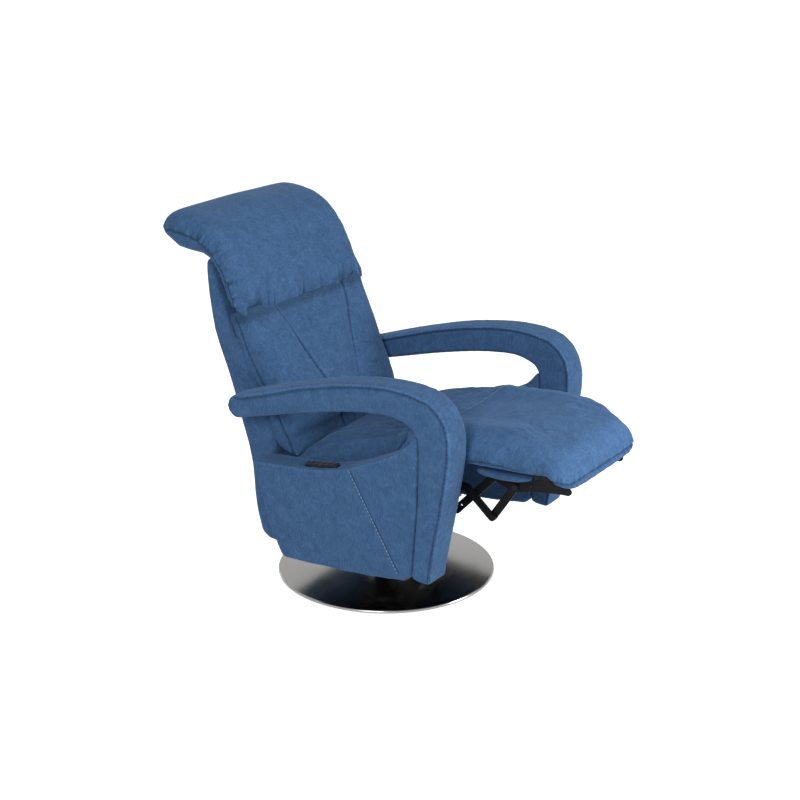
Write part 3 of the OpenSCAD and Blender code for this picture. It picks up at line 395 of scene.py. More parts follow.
def folds(u, v, long_u, long_v, seed):
    """Smooth noise from -1 to 1 over a surface, with lumps long_u by long_v metres."""
    lattice = np.random.default_rng(seed).uniform(-1, 1, (LATTICE, LATTICE))
    a, b = u / long_u + 200, v / long_v + 200
    i, j = np.floor(a).astype(int), np.floor(b).astype(int)
    s, t = a - i, b - j
    s, t = s * s * (3 - 2 * s), t * t * (3 - 2 * t)

    def row(n):
        return lattice[i % LATTICE, n % LATTICE] * (1 - s) + lattice[(i + 1) % LATTICE, n % LATTICE] * s

    return row(j) * (1 - t) + row(j + 1) * t


def creases(u, v, long_u, long_v, seed):
    """Narrow valleys, 1 at their bottom, at uneven steps of about long_u metres."""
    return np.exp(-((folds(u, v, long_u, long_v, seed) / CREASE_WIDTH) ** 2))


print("a groove at 0, 1 and 2 widths:", groove(np.arange(3), 1).round(2))

# %% [markdown]
# A cushion is a cover that its filling pushes out until the cloth is tight. Blender's Cloth does just that with its
# pressure setting: the cover starts slightly too small, is held where it is sewn or lies on something, and swells for
# twenty frames. How far a point may move is limited afterwards, with a curve that flattens out, so that the cushion
# keeps the size that was measured.

# %% Stuffing
SWELL_FRAMES = 20
SWELL_MOST = 7 * MM
PRESSURE = 4.0


def stuff(obj, held, smaller):
    """Swells a cover that is held where the list held is 1, from a start that is smaller by that many metres."""
    swell(obj, -smaller * (1 - held))
    start = points(obj)
    group = obj.vertex_groups.new(name="sewn")
    for index in np.flatnonzero(held > 0.02):
        group.add([int(index)], float(held[index]), "REPLACE")
    cloth = obj.modifiers.new("cloth", "CLOTH")
    cloth.settings.use_pressure = True
    cloth.settings.uniform_pressure_force = PRESSURE
    cloth.settings.vertex_group_mass = "sewn"
    cloth.settings.effector_weights.gravity = 0
    cloth.settings.quality = 4
    for frame_number in range(SWELL_FRAMES):
        scene.frame_set(frame_number + 1)
    swollen = points(obj.evaluated_get(bpy.context.evaluated_depsgraph_get()))
    obj.modifiers.clear()
    obj.vertex_groups.clear()
    move = swollen - start
    far = np.linalg.norm(move, axis=1)[:, None] + 1e-9
    place(obj, start + move / far * SWELL_MOST * np.tanh(far / SWELL_MOST))
    scene.frame_set(1)
    print(obj.name, "swelled by up to", round(float(far.max()) / MM, 1), "mm, kept to", SWELL_MOST / MM)


print("a cushion's points move by up to", SWELL_MOST / MM, "mm")

# %% [markdown]
# A finished cover gets its velour and its attribute of painted shade, painted highlights and wear, moves with the body
# that its CAD solid belongs to, and stands for that solid, which stays in the frame unseen. Where cloth crosses a
# joint, the cover is fixed in place on no body instead.

# %% Finishing a cover
def finish_cover(obj, node, shade_and_wear, bends=None):
    """Puts the cover in its CAD node's place, on the same body, or, when bends is given, fixed in place on no body."""
    shaded_and_worn = obj.data.attributes.new("shade_and_wear", "FLOAT", "POINT")
    shaded_and_worn.data.foreach_set("value", np.clip(shade_and_wear, -1, 1).astype(np.float32))
    dress(obj, VELOUR)
    if bends:
        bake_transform(obj)
    else:
        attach(obj, body_of[node])
    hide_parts(node)
    print(obj.name, "has", len(obj.data.polygons), "faces")


body_of = {n: body for body, names in frame["record"]["behaviour"]["bodies"].items() for n in names}
print("bodies to ride on:", len(set(body_of.values())))

# %% [markdown]
# Topstitching is a row of thread dashes, each 6 to 8 mm long, that hold a seam flat. Each dash is a small tapered
# thread that dips into the cloth at both ends. It is laid on the finished cover by shooting a ray at it, so it always
# sits on the cloth, whatever the folds did there. A dash is five rings of six points: each ring has its place along
# the dash, its share of the thickness, and its lift off the cloth.

# %% Sewing thread
TWIST = 1.5 * MM


def sewing_thread(name, dark, light):
    """Spun polyester thread: dull, with its twist a little lighter and darker along each dash."""
    material, tree = new_material(name)
    along = add(tree, "ShaderNodeTexCoord").outputs["Object"]
    twist = add(tree, "ShaderNodeTexNoise", {"Vector": along, "Scale": 1 / TWIST, "Detail": 2})
    colour = add(tree, "ShaderNodeValToRGB", {0: twist.outputs[0]})
    colour.color_ramp.elements[0].color, colour.color_ramp.elements[1].color = linear(dark), linear(light)
    bump = add(tree, "ShaderNodeBump", {"Strength": 0.4, "Distance": 0.2 * MM, "Height": twist.outputs[0]})
    shader = add(tree, "ShaderNodeBsdfPrincipled", {
        "Base Color": colour.outputs[0], "Roughness": 0.7, "Normal": bump.outputs[0], "Specular IOR Level": 0.3})
    finish_material(tree, shader)
    return material


DARK_THREAD = sewing_thread("dark_blue_thread", "#22354F", "#314868")
PALE_THREAD = sewing_thread("pale_blue_thread", "#7E9BBD", "#9DB6D2")
print("threads:", DARK_THREAD.name, "and", PALE_THREAD.name)

# %% Rows of stitches
ROUND = 6
RINGS = [(-0.5, 0.35, -0.6), (-0.38, 0.85, 0.25), (0.0, 1.0, 0.5), (0.38, 0.85, 0.25), (0.5, 0.35, -0.6)]


def resampled(line, pitch):
    """Points at an even pitch along a line of points."""
    line = np.array(line, float)
    length = np.concatenate([[0], np.cumsum(np.linalg.norm(np.diff(line, axis=0), axis=1))])
    at = np.arange(pitch / 2, length[-1], pitch)
    return np.stack([np.interp(at, length, line[:, k]) for k in range(3)], 1)


def tree_of(cover):
    return BVHTree.FromPolygons([v.co for v in cover.data.vertices], [p.vertices[:] for p in cover.data.polygons])


def sew(name, cover, line, aim, thread, pitch, dash, thick, body=None, bends=None):
    """Lays a row of dashes on a cover. The line floats off the cover, and aim is the way towards it.

    pitch is the step from dash to dash, dash is a dash's length, and thick is the thread's radius.
    """
    tree = tree_of(cover)
    aim = Vector(aim).normalized()
    centres = resampled(line, pitch)
    verts, faces = [], []
    for k, centre in enumerate(centres):
        ahead = Vector(centres[min(k + 1, len(centres) - 1)] - centres[max(k - 1, 0)]).normalized()
        ends = [tree.ray_cast(Vector(centre) + ahead * s * dash / 2, aim) for s in (-1, 1)]
        if ends[0][0] is None or ends[1][0] is None:
            continue
        along = ends[1][0] - ends[0][0]
        normal = (ends[0][1] + ends[1][1]).normalized()
        across = along.cross(normal).normalized()
        base = len(verts)
        for t, size, lift in RINGS:
            middle = ends[0][0] + along * (t + 0.5) + normal * thick * (lift + 0.2)
            for c in range(ROUND):
                angle = math.radians(360 / ROUND * c)
                verts.append(middle + (across * math.cos(angle) + normal * math.sin(angle) * 0.8) * thick * size)
        for ring in range(base, base + (len(RINGS) - 1) * ROUND, ROUND):
            for c in range(ROUND):
                d = (c + 1) % ROUND
                faces.append([ring + c, ring + d, ring + ROUND + d, ring + ROUND + c])
        faces.append([base + c for c in reversed(range(ROUND))])
        faces.append([base + (len(RINGS) - 1) * ROUND + c for c in range(ROUND)])
    obj = new_object(name, verts, faces)
    dress(obj, thread)
    if bends:
        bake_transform(obj)
    else:
        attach(obj, body)
    print(name, "has", len(verts) // (len(RINGS) * ROUND), "dashes")


print("a dash has", len(RINGS) * ROUND, "points")

# %% [markdown]
# The back leans 23 degrees. Its seams are easier to give in its own frame, as the upholsterer sees it on the bench:
# x across, y through the cushion from front to rear, and z up along the back from the hinge.

# %% The back's own frame
LEAN = math.radians(23)
HINGE_Y, HINGE_Z = 0.150, 0.365


def to_back(co):
    y, z = co[:, 1] - HINGE_Y, co[:, 2] - HINGE_Z
    return co[:, 0], y * math.cos(LEAN) - z * math.sin(LEAN), y * math.sin(LEAN) + z * math.cos(LEAN)


def from_back(x, y, z):
    return (x, HINGE_Y + y * math.cos(LEAN) + z * math.sin(LEAN), HINGE_Z - y * math.sin(LEAN) + z * math.cos(LEAN))


# The way from the sitter's side straight into the back.
INTO_BACK = Vector((0, math.cos(LEAN), -math.sin(LEAN)))
print("the back leans", round(math.degrees(LEAN)), "degrees")

# %% [markdown]
# Back cushion. Two sewn channels run together towards the seat and split the cover into a wedge and two wings. The
# channel is a tuck: the cloth dives into it from both sides, so it is a narrow groove with a soft shoulder. A plain
# seam down each side joins the front panel to the side strip.

# %% Back cushion
SIDES = (("left", 1), ("right", -1))
CHANNEL_TOP, CHANNEL_SLOPE, CHANNEL_FOOT = 0.153, 0.354, 0.013
CHANNEL_FROM = 0.395
BACK_HALF = 0.270
BACK_SHOULDER, BACK_TOP = 0.30, 0.421
SHOULDER_HEIGHT, STRETCHED_HEIGHT = 0.09, 0.114
BACK_SEAM = [(-0.033, 0.0), (-0.032, 0.025), (-0.028, 0.127), (-0.019, 0.224), (-0.012, 0.326), (-0.015, 0.407)]


def channel_x(z):
    return np.maximum(CHANNEL_TOP - (CHANNEL_FROM - z) * CHANNEL_SLOPE, CHANNEL_FOOT)


def make_back_cushion():
    obj = skin("back_cover", "back_cushion", rounds=2)
    x, y, z = to_back(points(obj))
    x = widened(x, z, BACK_HALF, fade(z, 0.33, 0.20))
    # The top is stretched up under the headrest's lip, and its two corners fill the gap to the shell.
    rise = np.clip((z - BACK_SHOULDER) / SHOULDER_HEIGHT, 0, 1.2)
    behind = fade(y, 0.004, -0.022) * fade(np.abs(x), 0.235, 0.20)
    corner = fade(np.abs(x), 0.225, 0.16) * fade(rise, 0.5, 0.2)
    z = np.where(z > BACK_SHOULDER, BACK_SHOULDER + STRETCHED_HEIGHT * (1.5 * rise - 0.5 * rise**2), z)
    z = z + (BACK_TOP - z) * corner
    y = y + 5 * MM * fade(z, 0.40, 0.33) * (1 - behind) + 12 * MM * behind
    place(obj, np.stack(from_back(x, y, z), 1))
    # The channels, the rear, and the top under the lip are held. The front and the sides swell.
    n = outward(obj)
    front = n @ np.array(INTO_BACK) < -0.25
    rear = ~front & (np.abs(n[:, 0]) < 0.6)
    beside_channel = np.abs(np.abs(x) - channel_x(z))
    held = np.maximum(groove(beside_channel, 9 * MM) * front, rear * 1.0)
    held = np.maximum(held, fade(z, 0.395, 0.37))
    stuff(obj, held, 4 * MM)
    refine(obj)
    x, y, z = to_back(points(obj))
    n = outward(obj)
    front = fade(n @ np.array(INTO_BACK), -0.4, -0.1)
    beside_channel = np.abs(x) - channel_x(z)
    s, off = beside(BACK_SEAM, y, z)
    side = fade(np.abs(n[:, 0]), 0.6, 0.3)
    # The channels with their puckers, the side seams with theirs, and then the slack of the whole front.
    amount = -5.5 * MM * groove(beside_channel, 3.2 * MM) * front
    amount += 1.3 * MM * folds(z, x, 14 * MM, 60 * MM, 11) * groove(beside_channel, 24 * MM) * front
    amount -= 3.2 * MM * groove(off, 2.8 * MM) * side
    amount += 0.8 * MM * folds(s, off, 12 * MM, 60 * MM, 12) * groove(off, 20 * MM) * side
    amount += 1.0 * MM * folds(x, z, 90 * MM, 34 * MM, 13) * fade(z, 0.10, 0.30) * front
    amount += 0.7 * MM * folds(x, z, 130 * MM, 110 * MM, 14) * front
    swell(obj, amount)
    # Painted shade darkens the channels and the side seams, where the pile is also pressed down. A painted highlight
    # lightens the shoulders beside the channels, and a band of painted shadow lies along the top under the headrest's
    # lip.
    shade_and_wear = -1.0 * groove(beside_channel, 2.6 * MM) * front - 0.9 * groove(off, 2.6 * MM) * side
    shade_and_wear += 0.25 * groove(np.abs(beside_channel) - 8 * MM, 4 * MM) * front - 0.7 * fade(z, 0.398, 0.375)
    finish_cover(obj, "back_cushion", shade_and_wear)
    for side_name, sign in SIDES:
        line = [from_back(sign * (float(channel_x(h)) + 5 * MM), -0.2, h) for h in np.linspace(0.04, 0.38, 12)]
        sew("back_channel_stitches_" + side_name, obj, line, INTO_BACK, DARK_THREAD,
            pitch=9 * MM, dash=6 * MM, thick=0.55 * MM, body="backrest")


make_back_cushion()

# %% [markdown]
# Headrest. A long cushion that curls back at the top like a breaking wave. Its cover is cut wider than its sides, so
# the seam along each side eats the extra cloth in short puckers, and the lower edge is gathered: uneven folds rise
# from it, up to 100 mm long, and the deepest are near the corners.

# %% Headrest
HEADREST_MIDDLE = [(-0.023, 0.368), (-0.024, 0.384), (-0.022, 0.423), (-0.026, 0.458), (-0.026, 0.493),
                   (-0.0195, 0.548), (-0.009, 0.582), (0.008, 0.612), (0.030, 0.638), (0.056, 0.658),
                   (0.080, 0.672), (0.104, 0.683), (0.136, 0.697)]
HEADREST_HALF = 0.274
LIP_TOP, LIP_SHORTER = 0.43, 0.53
LIP_FORWARD, LEFT_LOWER = 17 * MM, 7 * MM
LIP_HELD = (0.400, 0.406)
REAR_END = (0.12, 0.69)
SECOND_SEAM = 13 * MM


def make_headrest():
    obj = skin("headrest_cover", "headrest_cushion", rounds=3)
    x, y, z = to_back(points(obj))
    # The lip ends higher than the foam's solid, hangs a little lower on the left, and stands forward of the back.
    x = widened(x, z, HEADREST_HALF + 2 * MM, fade(z, 0.43, 0.50) * fade(z, 0.390, 0.372))
    z = np.where(z < LIP_TOP, LIP_TOP - (LIP_TOP - z) * LIP_SHORTER, z)
    z = z - LEFT_LOWER * np.clip(x / HEADREST_HALF, 0, 1) * fade(z, 0.42, 0.52)
    y = y - LIP_FORWARD * fade(z, 0.40, 0.47)
    place(obj, np.stack(from_back(x, y, z), 1))
    # The side seams, the rear face, the lip and the rear end hold the cover while it swells.
    _, off = beside(HEADREST_MIDDLE, y, z)
    on_seam = groove(off, 8 * MM) * (np.abs(outward(obj)[:, 0]) > 0.5)
    held = np.maximum(on_seam, fade(off, -12 * MM, 0) * fade(z, 0.56, 0.60))
    held = np.maximum(held, fade(z, *LIP_HELD))
    held = np.maximum(held, fade(np.hypot(y - REAR_END[0], z - REAR_END[1]), 0.045, 0.08))
    stuff(obj, held, 3 * MM)
    refine(obj)
    x, y, z = to_back(points(obj))
    n = outward(obj)
    s, off = beside(HEADREST_MIDDLE, y, z)
    side = fade(np.abs(n[:, 0]), 0.55, 0.25)
    from_seam = np.abs(off) + np.maximum(HEADREST_HALF - np.abs(x), 0)
    # The side seam and a second seam behind it, on the upright part only.
    second = off + SECOND_SEAM
    upright = fade(s, 0.20, 0.26)
    amount = -5.0 * MM * groove(off, 3.4 * MM) * side
    amount -= 2.4 * MM * groove(second, 2.6 * MM) * side * upright
    # Short puckers that run out from the side seam.
    pucker = folds(s, from_seam, 8 * MM, 90 * MM, 21) - 1.5 * creases(s, from_seam, 12 * MM, 70 * MM, 22)
    reach = np.exp(-from_seam / (26 * MM)) * (0.9 + 0.8 * folds(s, s, 60 * MM, 1.0, 26) ** 2)
    creased = 4.0 * MM * pucker * reach * (1 - groove(off, 3 * MM) * side) * (off > -12 * MM)
    # Long gathers that rise from the lip, uneven and deepest near the corners.
    front = fade(off, 12 * MM, 2 * MM)
    uneven = 0.5 + 0.9 * np.abs(folds(x, x, 45 * MM, 1.0, 27)) + 0.9 * groove(np.abs(x) - 0.215, 50 * MM)
    height = fade(z, 0.400, 0.452) + 0.45 * fade(z, 0.405, 0.51)
    gather = 0.9 * folds(x, z, 13 * MM, 300 * MM, 23) - 1.5 * creases(x, z, 23 * MM, 260 * MM, 24)
    creased += 4.6 * MM * gather * height * uneven * front * (1 - 0.6 * groove(z - 0.398, 10 * MM))
    # Both kinds of fold are kept shallow, and fade out at the corners of the lip.
    corner = fade(np.abs(x) + 0.5 * (LIP_TOP - z), 0.262, 0.285)
    amount += np.clip(creased, -4.5 * MM, 2.2 * MM) * corner
    amount += 1.6 * MM * folds(x, s, 120 * MM, 70 * MM, 25) * front
    swell(obj, amount)
    # Painted shade darkens both seams, where the pile is also pressed down, and the valleys of the puckers and
    # gathers. Painted highlights lighten their crests, and painted light brightens the lip's lower front.
    shade_and_wear = -1.0 * groove(off, 3.0 * MM) * side - 0.6 * groove(second, 2.4 * MM) * side * upright
    shade_and_wear += 0.5 * pucker * reach * (off > 0) + 0.4 * gather * height * uneven * front
    shade_and_wear += 0.2 * fade(z, 0.42, 0.50) * front
    bend_start, bend_end = from_back(0, -0.03, 0.392), from_back(0, -0.03, 0.475)
    finish_cover(obj, "headrest_cushion", shade_and_wear, bends=("backrest", "headrest", bend_start, bend_end))


make_headrest()

# %% [markdown]
# Seat cushion. It is firm and nearly flat, so it only swells a little. Where the sitter's weight has pushed the cover
# forward, soft creases run from the back to the front near its sides.

# %% Seat cushion
SEAT_HALF = 0.263
KNEE_SEAM_Y = -0.261
KNEE_FILL = 7 * MM
UNDER_BACK = 16 * MM


def make_seat():
    obj = skin("seat_cover", "seat_cushion", rounds=3)
    x, y, z = points(obj).T
    # The rear end is brought to the seat's full width, and its middle runs on under the back.
    x = widened(x, y, SEAT_HALF, fade(y, 0.10, 0.05))
    y = y + UNDER_BACK * fade(y, 0.11, 0.04) * fade(np.abs(x), 0.26, 0.18)
    place(obj, np.stack([x, y, z], 1))
    stuff(obj, fade(outward(obj)[:, 2], -0.5, 0.1), 5 * MM)
    refine(obj)
    x, y = points(obj)[:, :2].T
    top = fade(outward(obj)[:, 2], 0.6, 0.2)
    outer_side = fade(np.abs(x), 0.2, 0.1)
    # Creases from back to front near the sides, the slack of the top, and a fuller front towards the knee.
    lines = folds(x, y, 9 * MM, 170 * MM, 31) - 0.8 * creases(x, y, 15 * MM, 120 * MM, 33)
    amount = 1.5 * MM * lines * outer_side * top
    amount += 1.2 * MM * folds(x, y, 80 * MM, 60 * MM, 32) * top
    amount += KNEE_FILL * groove(y - KNEE_SEAM_Y, 45 * MM) * fade(np.abs(x), 0.22, 0.05) * top
    swell(obj, amount)
    # Painted shade darkens the creases, and painted highlights lighten their crests. The whole seat is painted darker
    # as the shade that the arms and back cast on it.
    finish_cover(obj, "seat_cushion", 0.25 * lines * outer_side * top - 0.3)
    return obj


seat_cover = make_seat()

# %% [markdown]
# Footrest pad. Its top runs over the knee in one piece with the seat's line, and a flat seam crosses it there. The
# cover is pulled down round the sides and sewn to the underside, with a topstitched hem that puckers, and the cloth
# folds where the pad narrows behind the arm.

# %% Footrest pad
BESIDE_ALL = 0.35
NOSE_RAISED, NOSE_WIDER, NOSE_LONGER = 11 * MM, 0.12, 6 * MM
PAD_HEM = [(-0.300, 0.466), (-0.338, 0.468), (-0.383, 0.475), (-0.443, 0.481), (-0.482, 0.479), (-0.535, 0.470),
           (-0.592, 0.458), (-0.648, 0.451)]


def hem_height(y):
    hem = np.array(PAD_HEM[::-1])
    return np.interp(y, hem[:, 0], hem[:, 1])


def make_footrest():
    obj = skin("footrest_cover", "footrest_pad", rounds=3)
    x, y, z = points(obj).T
    # The nose is squarer, wider and longer than the foam's solid.
    squarer = fade(np.abs(x), 0.19, 0.06) * fade(z - hem_height(y), 0.045, 0.005) * fade(y, -0.55, -0.64)
    z = z + NOSE_RAISED * squarer + 4 * MM * fade(y, -0.60, -0.54)
    x = x * (1 + NOSE_WIDER * fade(y, -0.645, -0.59))
    y = y - NOSE_LONGER * fade(y, -0.65, -0.57)
    place(obj, np.stack([x, y, z], 1))
    held = np.maximum(fade(outward(obj)[:, 2], -0.5, 0.0), groove(points(obj)[:, 1] - KNEE_SEAM_Y, 8 * MM))
    stuff(obj, held, 5 * MM)
    refine(obj)
    x, y, z = points(obj).T
    n = outward(obj)
    top = fade(n[:, 2], 0.3, -0.1)
    side = fade(n[:, 2], 0.75, 0.95) * fade(n[:, 2], -0.75, -0.9)
    over = z - hem_height(y)
    past_knee = fade(y, -0.33, -0.28)
    # The hem with the roll below it and its puckers, the folds behind the arm, and the slack of the top.
    amount = -4.6 * MM * groove(over, 3.4 * MM) * side * past_knee
    amount += 1.2 * MM * groove(over + 9 * MM, 5 * MM) * side * past_knee
    round_it = y + np.abs(x)
    hem_pucker = folds(round_it, over, 11 * MM, 60 * MM, 41) - 1.3 * creases(round_it, over, 19 * MM, 80 * MM, 44)
    near_hem = np.exp(-np.abs(over) / (24 * MM))
    amount += 2.4 * MM * hem_pucker * near_hem * side * past_knee
    behind_arm = fade(y, -0.30, -0.43) * fade(np.abs(x), 0.24, 0.06) * (y < KNEE_SEAM_Y)
    arm_folds = folds(y, x, 15 * MM, 130 * MM, 42)
    amount += 3.0 * MM * arm_folds * behind_arm * top
    amount += 1.8 * MM * folds(x, y, 110 * MM, 70 * MM, 43) * top
    amount += KNEE_FILL * groove(y - KNEE_SEAM_Y + 0.03, 60 * MM) * fade(np.abs(x), 0.22, 0.05) * top
    swell(obj, amount)
    # Painted shade darkens the hem seam and the puckers' valleys, and painted highlights lighten the puckers' crests
    # and the folds behind the arm. Painted light brightens the nose and the whole top.
    shade_and_wear = -0.9 * groove(over, 2.8 * MM) * side * past_knee
    shade_and_wear += 0.3 * hem_pucker * near_hem * side * past_knee
    shade_and_wear += 0.5 * fade(y, -0.63, -0.60) + 0.2 * top + 0.15 * arm_folds * behind_arm * top
    finish_cover(obj, "footrest_pad", shade_and_wear)
    for side_name, sign in SIDES:
        line = [(sign * BESIDE_ALL, y, z + 6 * MM) for y, z in PAD_HEM[1:]]
        sew("footrest_hem_stitches_" + side_name, obj, line, (-sign, 0, 0), DARK_THREAD,
            pitch=10 * MM, dash=7 * MM, thick=0.8 * MM, body="footrest")
    return obj


pad_cover = make_footrest()

# %% [markdown]
# The knee. On the real chair the seat's cloth runs on over the knee and is sewn to the pad's cloth there, so nothing
# gapes when the footrest folds. Here a strip of cover bridges the two cushions. It is laid on them by rays, from side
# to side, and it is fixed in place, on neither body. The flat seam in its middle has pale thread.

# %% Knee strip
KNEE_BENDS = ("chassis", "footrest", (0, -0.215, 0.52), (0, -0.275, 0.52))
KNEE_FROM, KNEE_TO, KNEE_HALF = -0.172, -0.310, 0.247
KNEE_COLUMNS, KNEE_ROWS = 84, 70
BRIDGE_FROM, BRIDGE_TO = -0.212, -0.272
ARCH, LAID_ON, TUCKED_IN, TUCK_LENGTH = 4 * MM, 1.4 * MM, 4 * MM, 22 * MM
ABOVE_ALL, BELOW_ALL = 0.6, 0.45
DOWN = Vector((0, 0, -1))
SETTLE_ROUNDS = 14


def make_knee():
    trees = [tree_of(seat_cover), tree_of(pad_cover)]
    xs, ys = np.linspace(-KNEE_HALF, KNEE_HALF, KNEE_COLUMNS), np.linspace(KNEE_FROM, KNEE_TO, KNEE_ROWS)
    high = np.zeros((len(ys), len(xs)))
    for i, y in enumerate(ys):
        for j, x in enumerate(xs):
            hits = [tree.ray_cast(Vector((x, y, ABOVE_ALL)), DOWN)[0] for tree in trees]
            high[i, j] = max([hit.z for hit in hits if hit is not None], default=BELOW_ALL)
    # A low arch over the gap between the cushions, smoothed, with its two ends tucked into them.
    first, last = np.abs(ys - BRIDGE_FROM).argmin(), np.abs(ys - BRIDGE_TO).argmin()
    t = np.linspace(0, 1, last - first + 1)[:, None]
    bridge = high[first] * (1 - t) + high[last] * t + ARCH * 4 * t * (1 - t)
    high[first : last + 1] = np.maximum(high[first : last + 1], bridge)
    for _ in range(SETTLE_ROUNDS):
        high[1:-1] = (high[:-2] + 2 * high[1:-1] + high[2:]) / 4
        high[:, 1:-1] = (high[:, :-2] + 6 * high[:, 1:-1] + high[:, 2:]) / 8
    tuck = fade(np.minimum(ys - ys[-1], ys[0] - ys), 0.0, TUCK_LENGTH)[:, None]
    seam = 1.6 * MM * groove(ys - KNEE_SEAM_Y, 2.4 * MM)[:, None]
    high += LAID_ON - TUCKED_IN * tuck - seam
    verts = [(xs[j], ys[i], high[i, j]) for i in range(len(ys)) for j in range(len(xs))]
    w = len(xs)
    faces = [(i * w + j, i * w + w + j, i * w + w + j + 1, i * w + j + 1)
             for i in range(len(ys) - 1) for j in range(w - 1)]
    obj = new_object("knee_strip", verts, faces)
    apply(obj, "SOLIDIFY", thickness=3 * MM, offset=-1.0)
    dress(obj, VELOUR)
    line = [(x, KNEE_SEAM_Y - 4.5 * MM, ABOVE_ALL) for x in (-0.243, 0.243)]
    sew("knee_stitches", obj, line, DOWN, PALE_THREAD, pitch=8 * MM, dash=6 * MM, thick=0.6 * MM,
        bends=KNEE_BENDS)
    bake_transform(obj)
    print("the knee strip has", len(obj.data.polygons), "faces")


make_knee()

# %% [markdown]
# The rest of the upholstery is cloth pulled tight over shaped panels with thin foam: the two arm bands, the side
# panels, the back's shell and the rolls beside the footrest's board. Tight cloth has no folds, so the foam's solid is
# kept, its edges are rounded by the remesh, and only the seams are pressed in.

# %% Arm bands
ARM_EDGE = [(0.247, 0.569), (0.225, 0.567), (0.153, 0.589), (0.020, 0.631), (-0.083, 0.655), (-0.168, 0.669),
            (-0.231, 0.674), (-0.294, 0.671), (-0.351, 0.658), (-0.384, 0.635), (-0.405, 0.605), (-0.415, 0.565),
            (-0.416, 0.514), (-0.409, 0.457), (-0.396, 0.367), (-0.378, 0.274), (-0.362, 0.160)]
SEAM_IN, RIDGE_IN = 11 * MM, 4.5 * MM
STITCHES_IN = SEAM_IN - 4.5 * MM
BAND_SIDES = (0.350, 0.270)
THICK_THREAD = 0.85 * MM


def make_arm(side_name, sign):
    obj = skin("arm_cover_" + side_name, "arm_band_" + side_name, rounds=1, voxel=5 * MM)
    refine(obj)
    co = points(obj)
    n = outward(obj)
    s, inside = beside(ARM_EDGE, co[:, 1], co[:, 2])
    side = fade(np.abs(n[:, 0]), 0.75, 0.4)
    # The seam beside the band's edge, the ridge of cloth between seam and edge, and a little slack.
    seam, ridge = np.abs(inside) - SEAM_IN, np.abs(inside) - RIDGE_IN
    amount = -4.4 * MM * groove(seam, 2.6 * MM) * side
    amount += 2.2 * MM * groove(ridge, 3.2 * MM) * side
    amount += 0.35 * MM * folds(s, inside, 18 * MM, 50 * MM, 51 + sign) * np.exp(-np.abs(seam) / (18 * MM))
    amount += 0.5 * MM * folds(s, inside + co[:, 0], 90 * MM, 60 * MM, 53 + sign)
    swell(obj, amount)
    from_side = np.minimum(*[np.abs(np.abs(co[:, 0]) - x) for x in BAND_SIDES])
    # Painted shade darkens the seam, where the pile is also pressed down, and painted highlights lighten the ridge
    # beside it and the band's corners.
    shade_and_wear = -0.75 * groove(seam, 2.2 * MM) * side + 0.3 * groove(ridge, 4 * MM) * side
    shade_and_wear += 0.4 * groove(from_side, 5 * MM) * groove(inside, 8 * MM)
    finish_cover(obj, "arm_band_" + side_name, shade_and_wear)
    edge = np.array(ARM_EDGE)
    step = np.gradient(edge, axis=0)
    step /= np.linalg.norm(step, axis=1)[:, None]
    inner = edge + np.stack([-step[:, 1], step[:, 0]], 1) * STITCHES_IN
    for face, x0, way in (("outer", 0.40, -1), ("inner", 0.20, 1)):
        line = [(sign * x0, y, z) for y, z in inner]
        sew("arm_stitches_%s_%s" % (side_name, face), obj, line, (sign * way, 0, 0), DARK_THREAD,
            pitch=11 * MM, dash=8 * MM, thick=THICK_THREAD, body="chassis")


for side_name, sign in SIDES:
    make_arm(side_name, sign)

# %% [markdown]
# Each side panel is one upholstered board under the arm, with a ledge on top. A diagonal seam with pale stitches runs
# across its outer face. The control strip lies in a shallow recess of the right ledge, so the cloth sinks there, and
# the panel's underside is plain cloth-faced board, which is a second material on the same cover.

# %% Side panels
DIAGONAL = [(-0.121, 0.430), (-0.268, 0.184)]
STRIP_MIDDLE = (-0.31, -0.008)
RECESS = 9 * MM
UNDERSIDE_Z = 0.30


def make_panel(side_name, sign):
    obj = skin("panel_cover_" + side_name, "side_panel_" + side_name, rounds=1)
    refine(obj)
    co = points(obj)
    n = outward(obj)
    strip = fade(np.abs(co[:, 0] - STRIP_MIDDLE[0]), 0.017, 0.021)
    strip *= fade(np.abs(co[:, 1] - STRIP_MIDDLE[1]), 0.059, 0.064)
    co[:, 2] -= RECESS * strip * fade(co[:, 2], 0.39, 0.37)
    place(obj, co)
    outer = fade(n[:, 0] * sign, 0.7, 0.3)
    _, off = beside(DIAGONAL, co[:, 1], co[:, 2])
    amount = -2.6 * MM * groove(off, 2.8 * MM) * outer
    amount += 0.8 * MM * folds(co[:, 1], co[:, 2], 110 * MM, 90 * MM, 61 + sign) * outer
    swell(obj, amount)
    # A painted highlight runs along the ledge's outer edge, and painted shade darkens the diagonal seam.
    painted_ledge_highlight = groove(np.abs(co[:, 0]) - 0.347, 4 * MM) * fade(n[:, 2], 0.3, 0.1) * fade(n[:, 2], 0.8, 0.95)
    finish_cover(obj, "side_panel_" + side_name, 0.35 * painted_ledge_highlight - 0.7 * groove(off, 2.2 * MM) * outer)
    obj.data.materials.append(FACED_BOARD)
    under = [int(p.normal.z < -0.85 and p.center.z < UNDERSIDE_Z) for p in obj.data.polygons]
    obj.data.polygons.foreach_set("material_index", under)
    line = [(sign * 0.40, y + 4 * MM, z) for y, z in DIAGONAL]
    sew("panel_stitches_" + side_name, obj, line, (-sign, 0, 0), PALE_THREAD,
        pitch=10 * MM, dash=7 * MM, thick=0.9 * MM, body="chassis")


for side_name, sign in SIDES:
    make_panel(side_name, sign)

# %% [markdown]
# The back's shell is a curved board in cloth, with an upright seam on each side of its rear face. Its inner face is
# drawn in by 2.5 mm, which leaves room for the drive when the back reclines. The rolls beside the footrest's board are
# plain, and one function makes both.

# %% Back shell and footrest rolls
SHELL_SEAM_X = 0.215
DRAWN_IN = 2.5 * MM


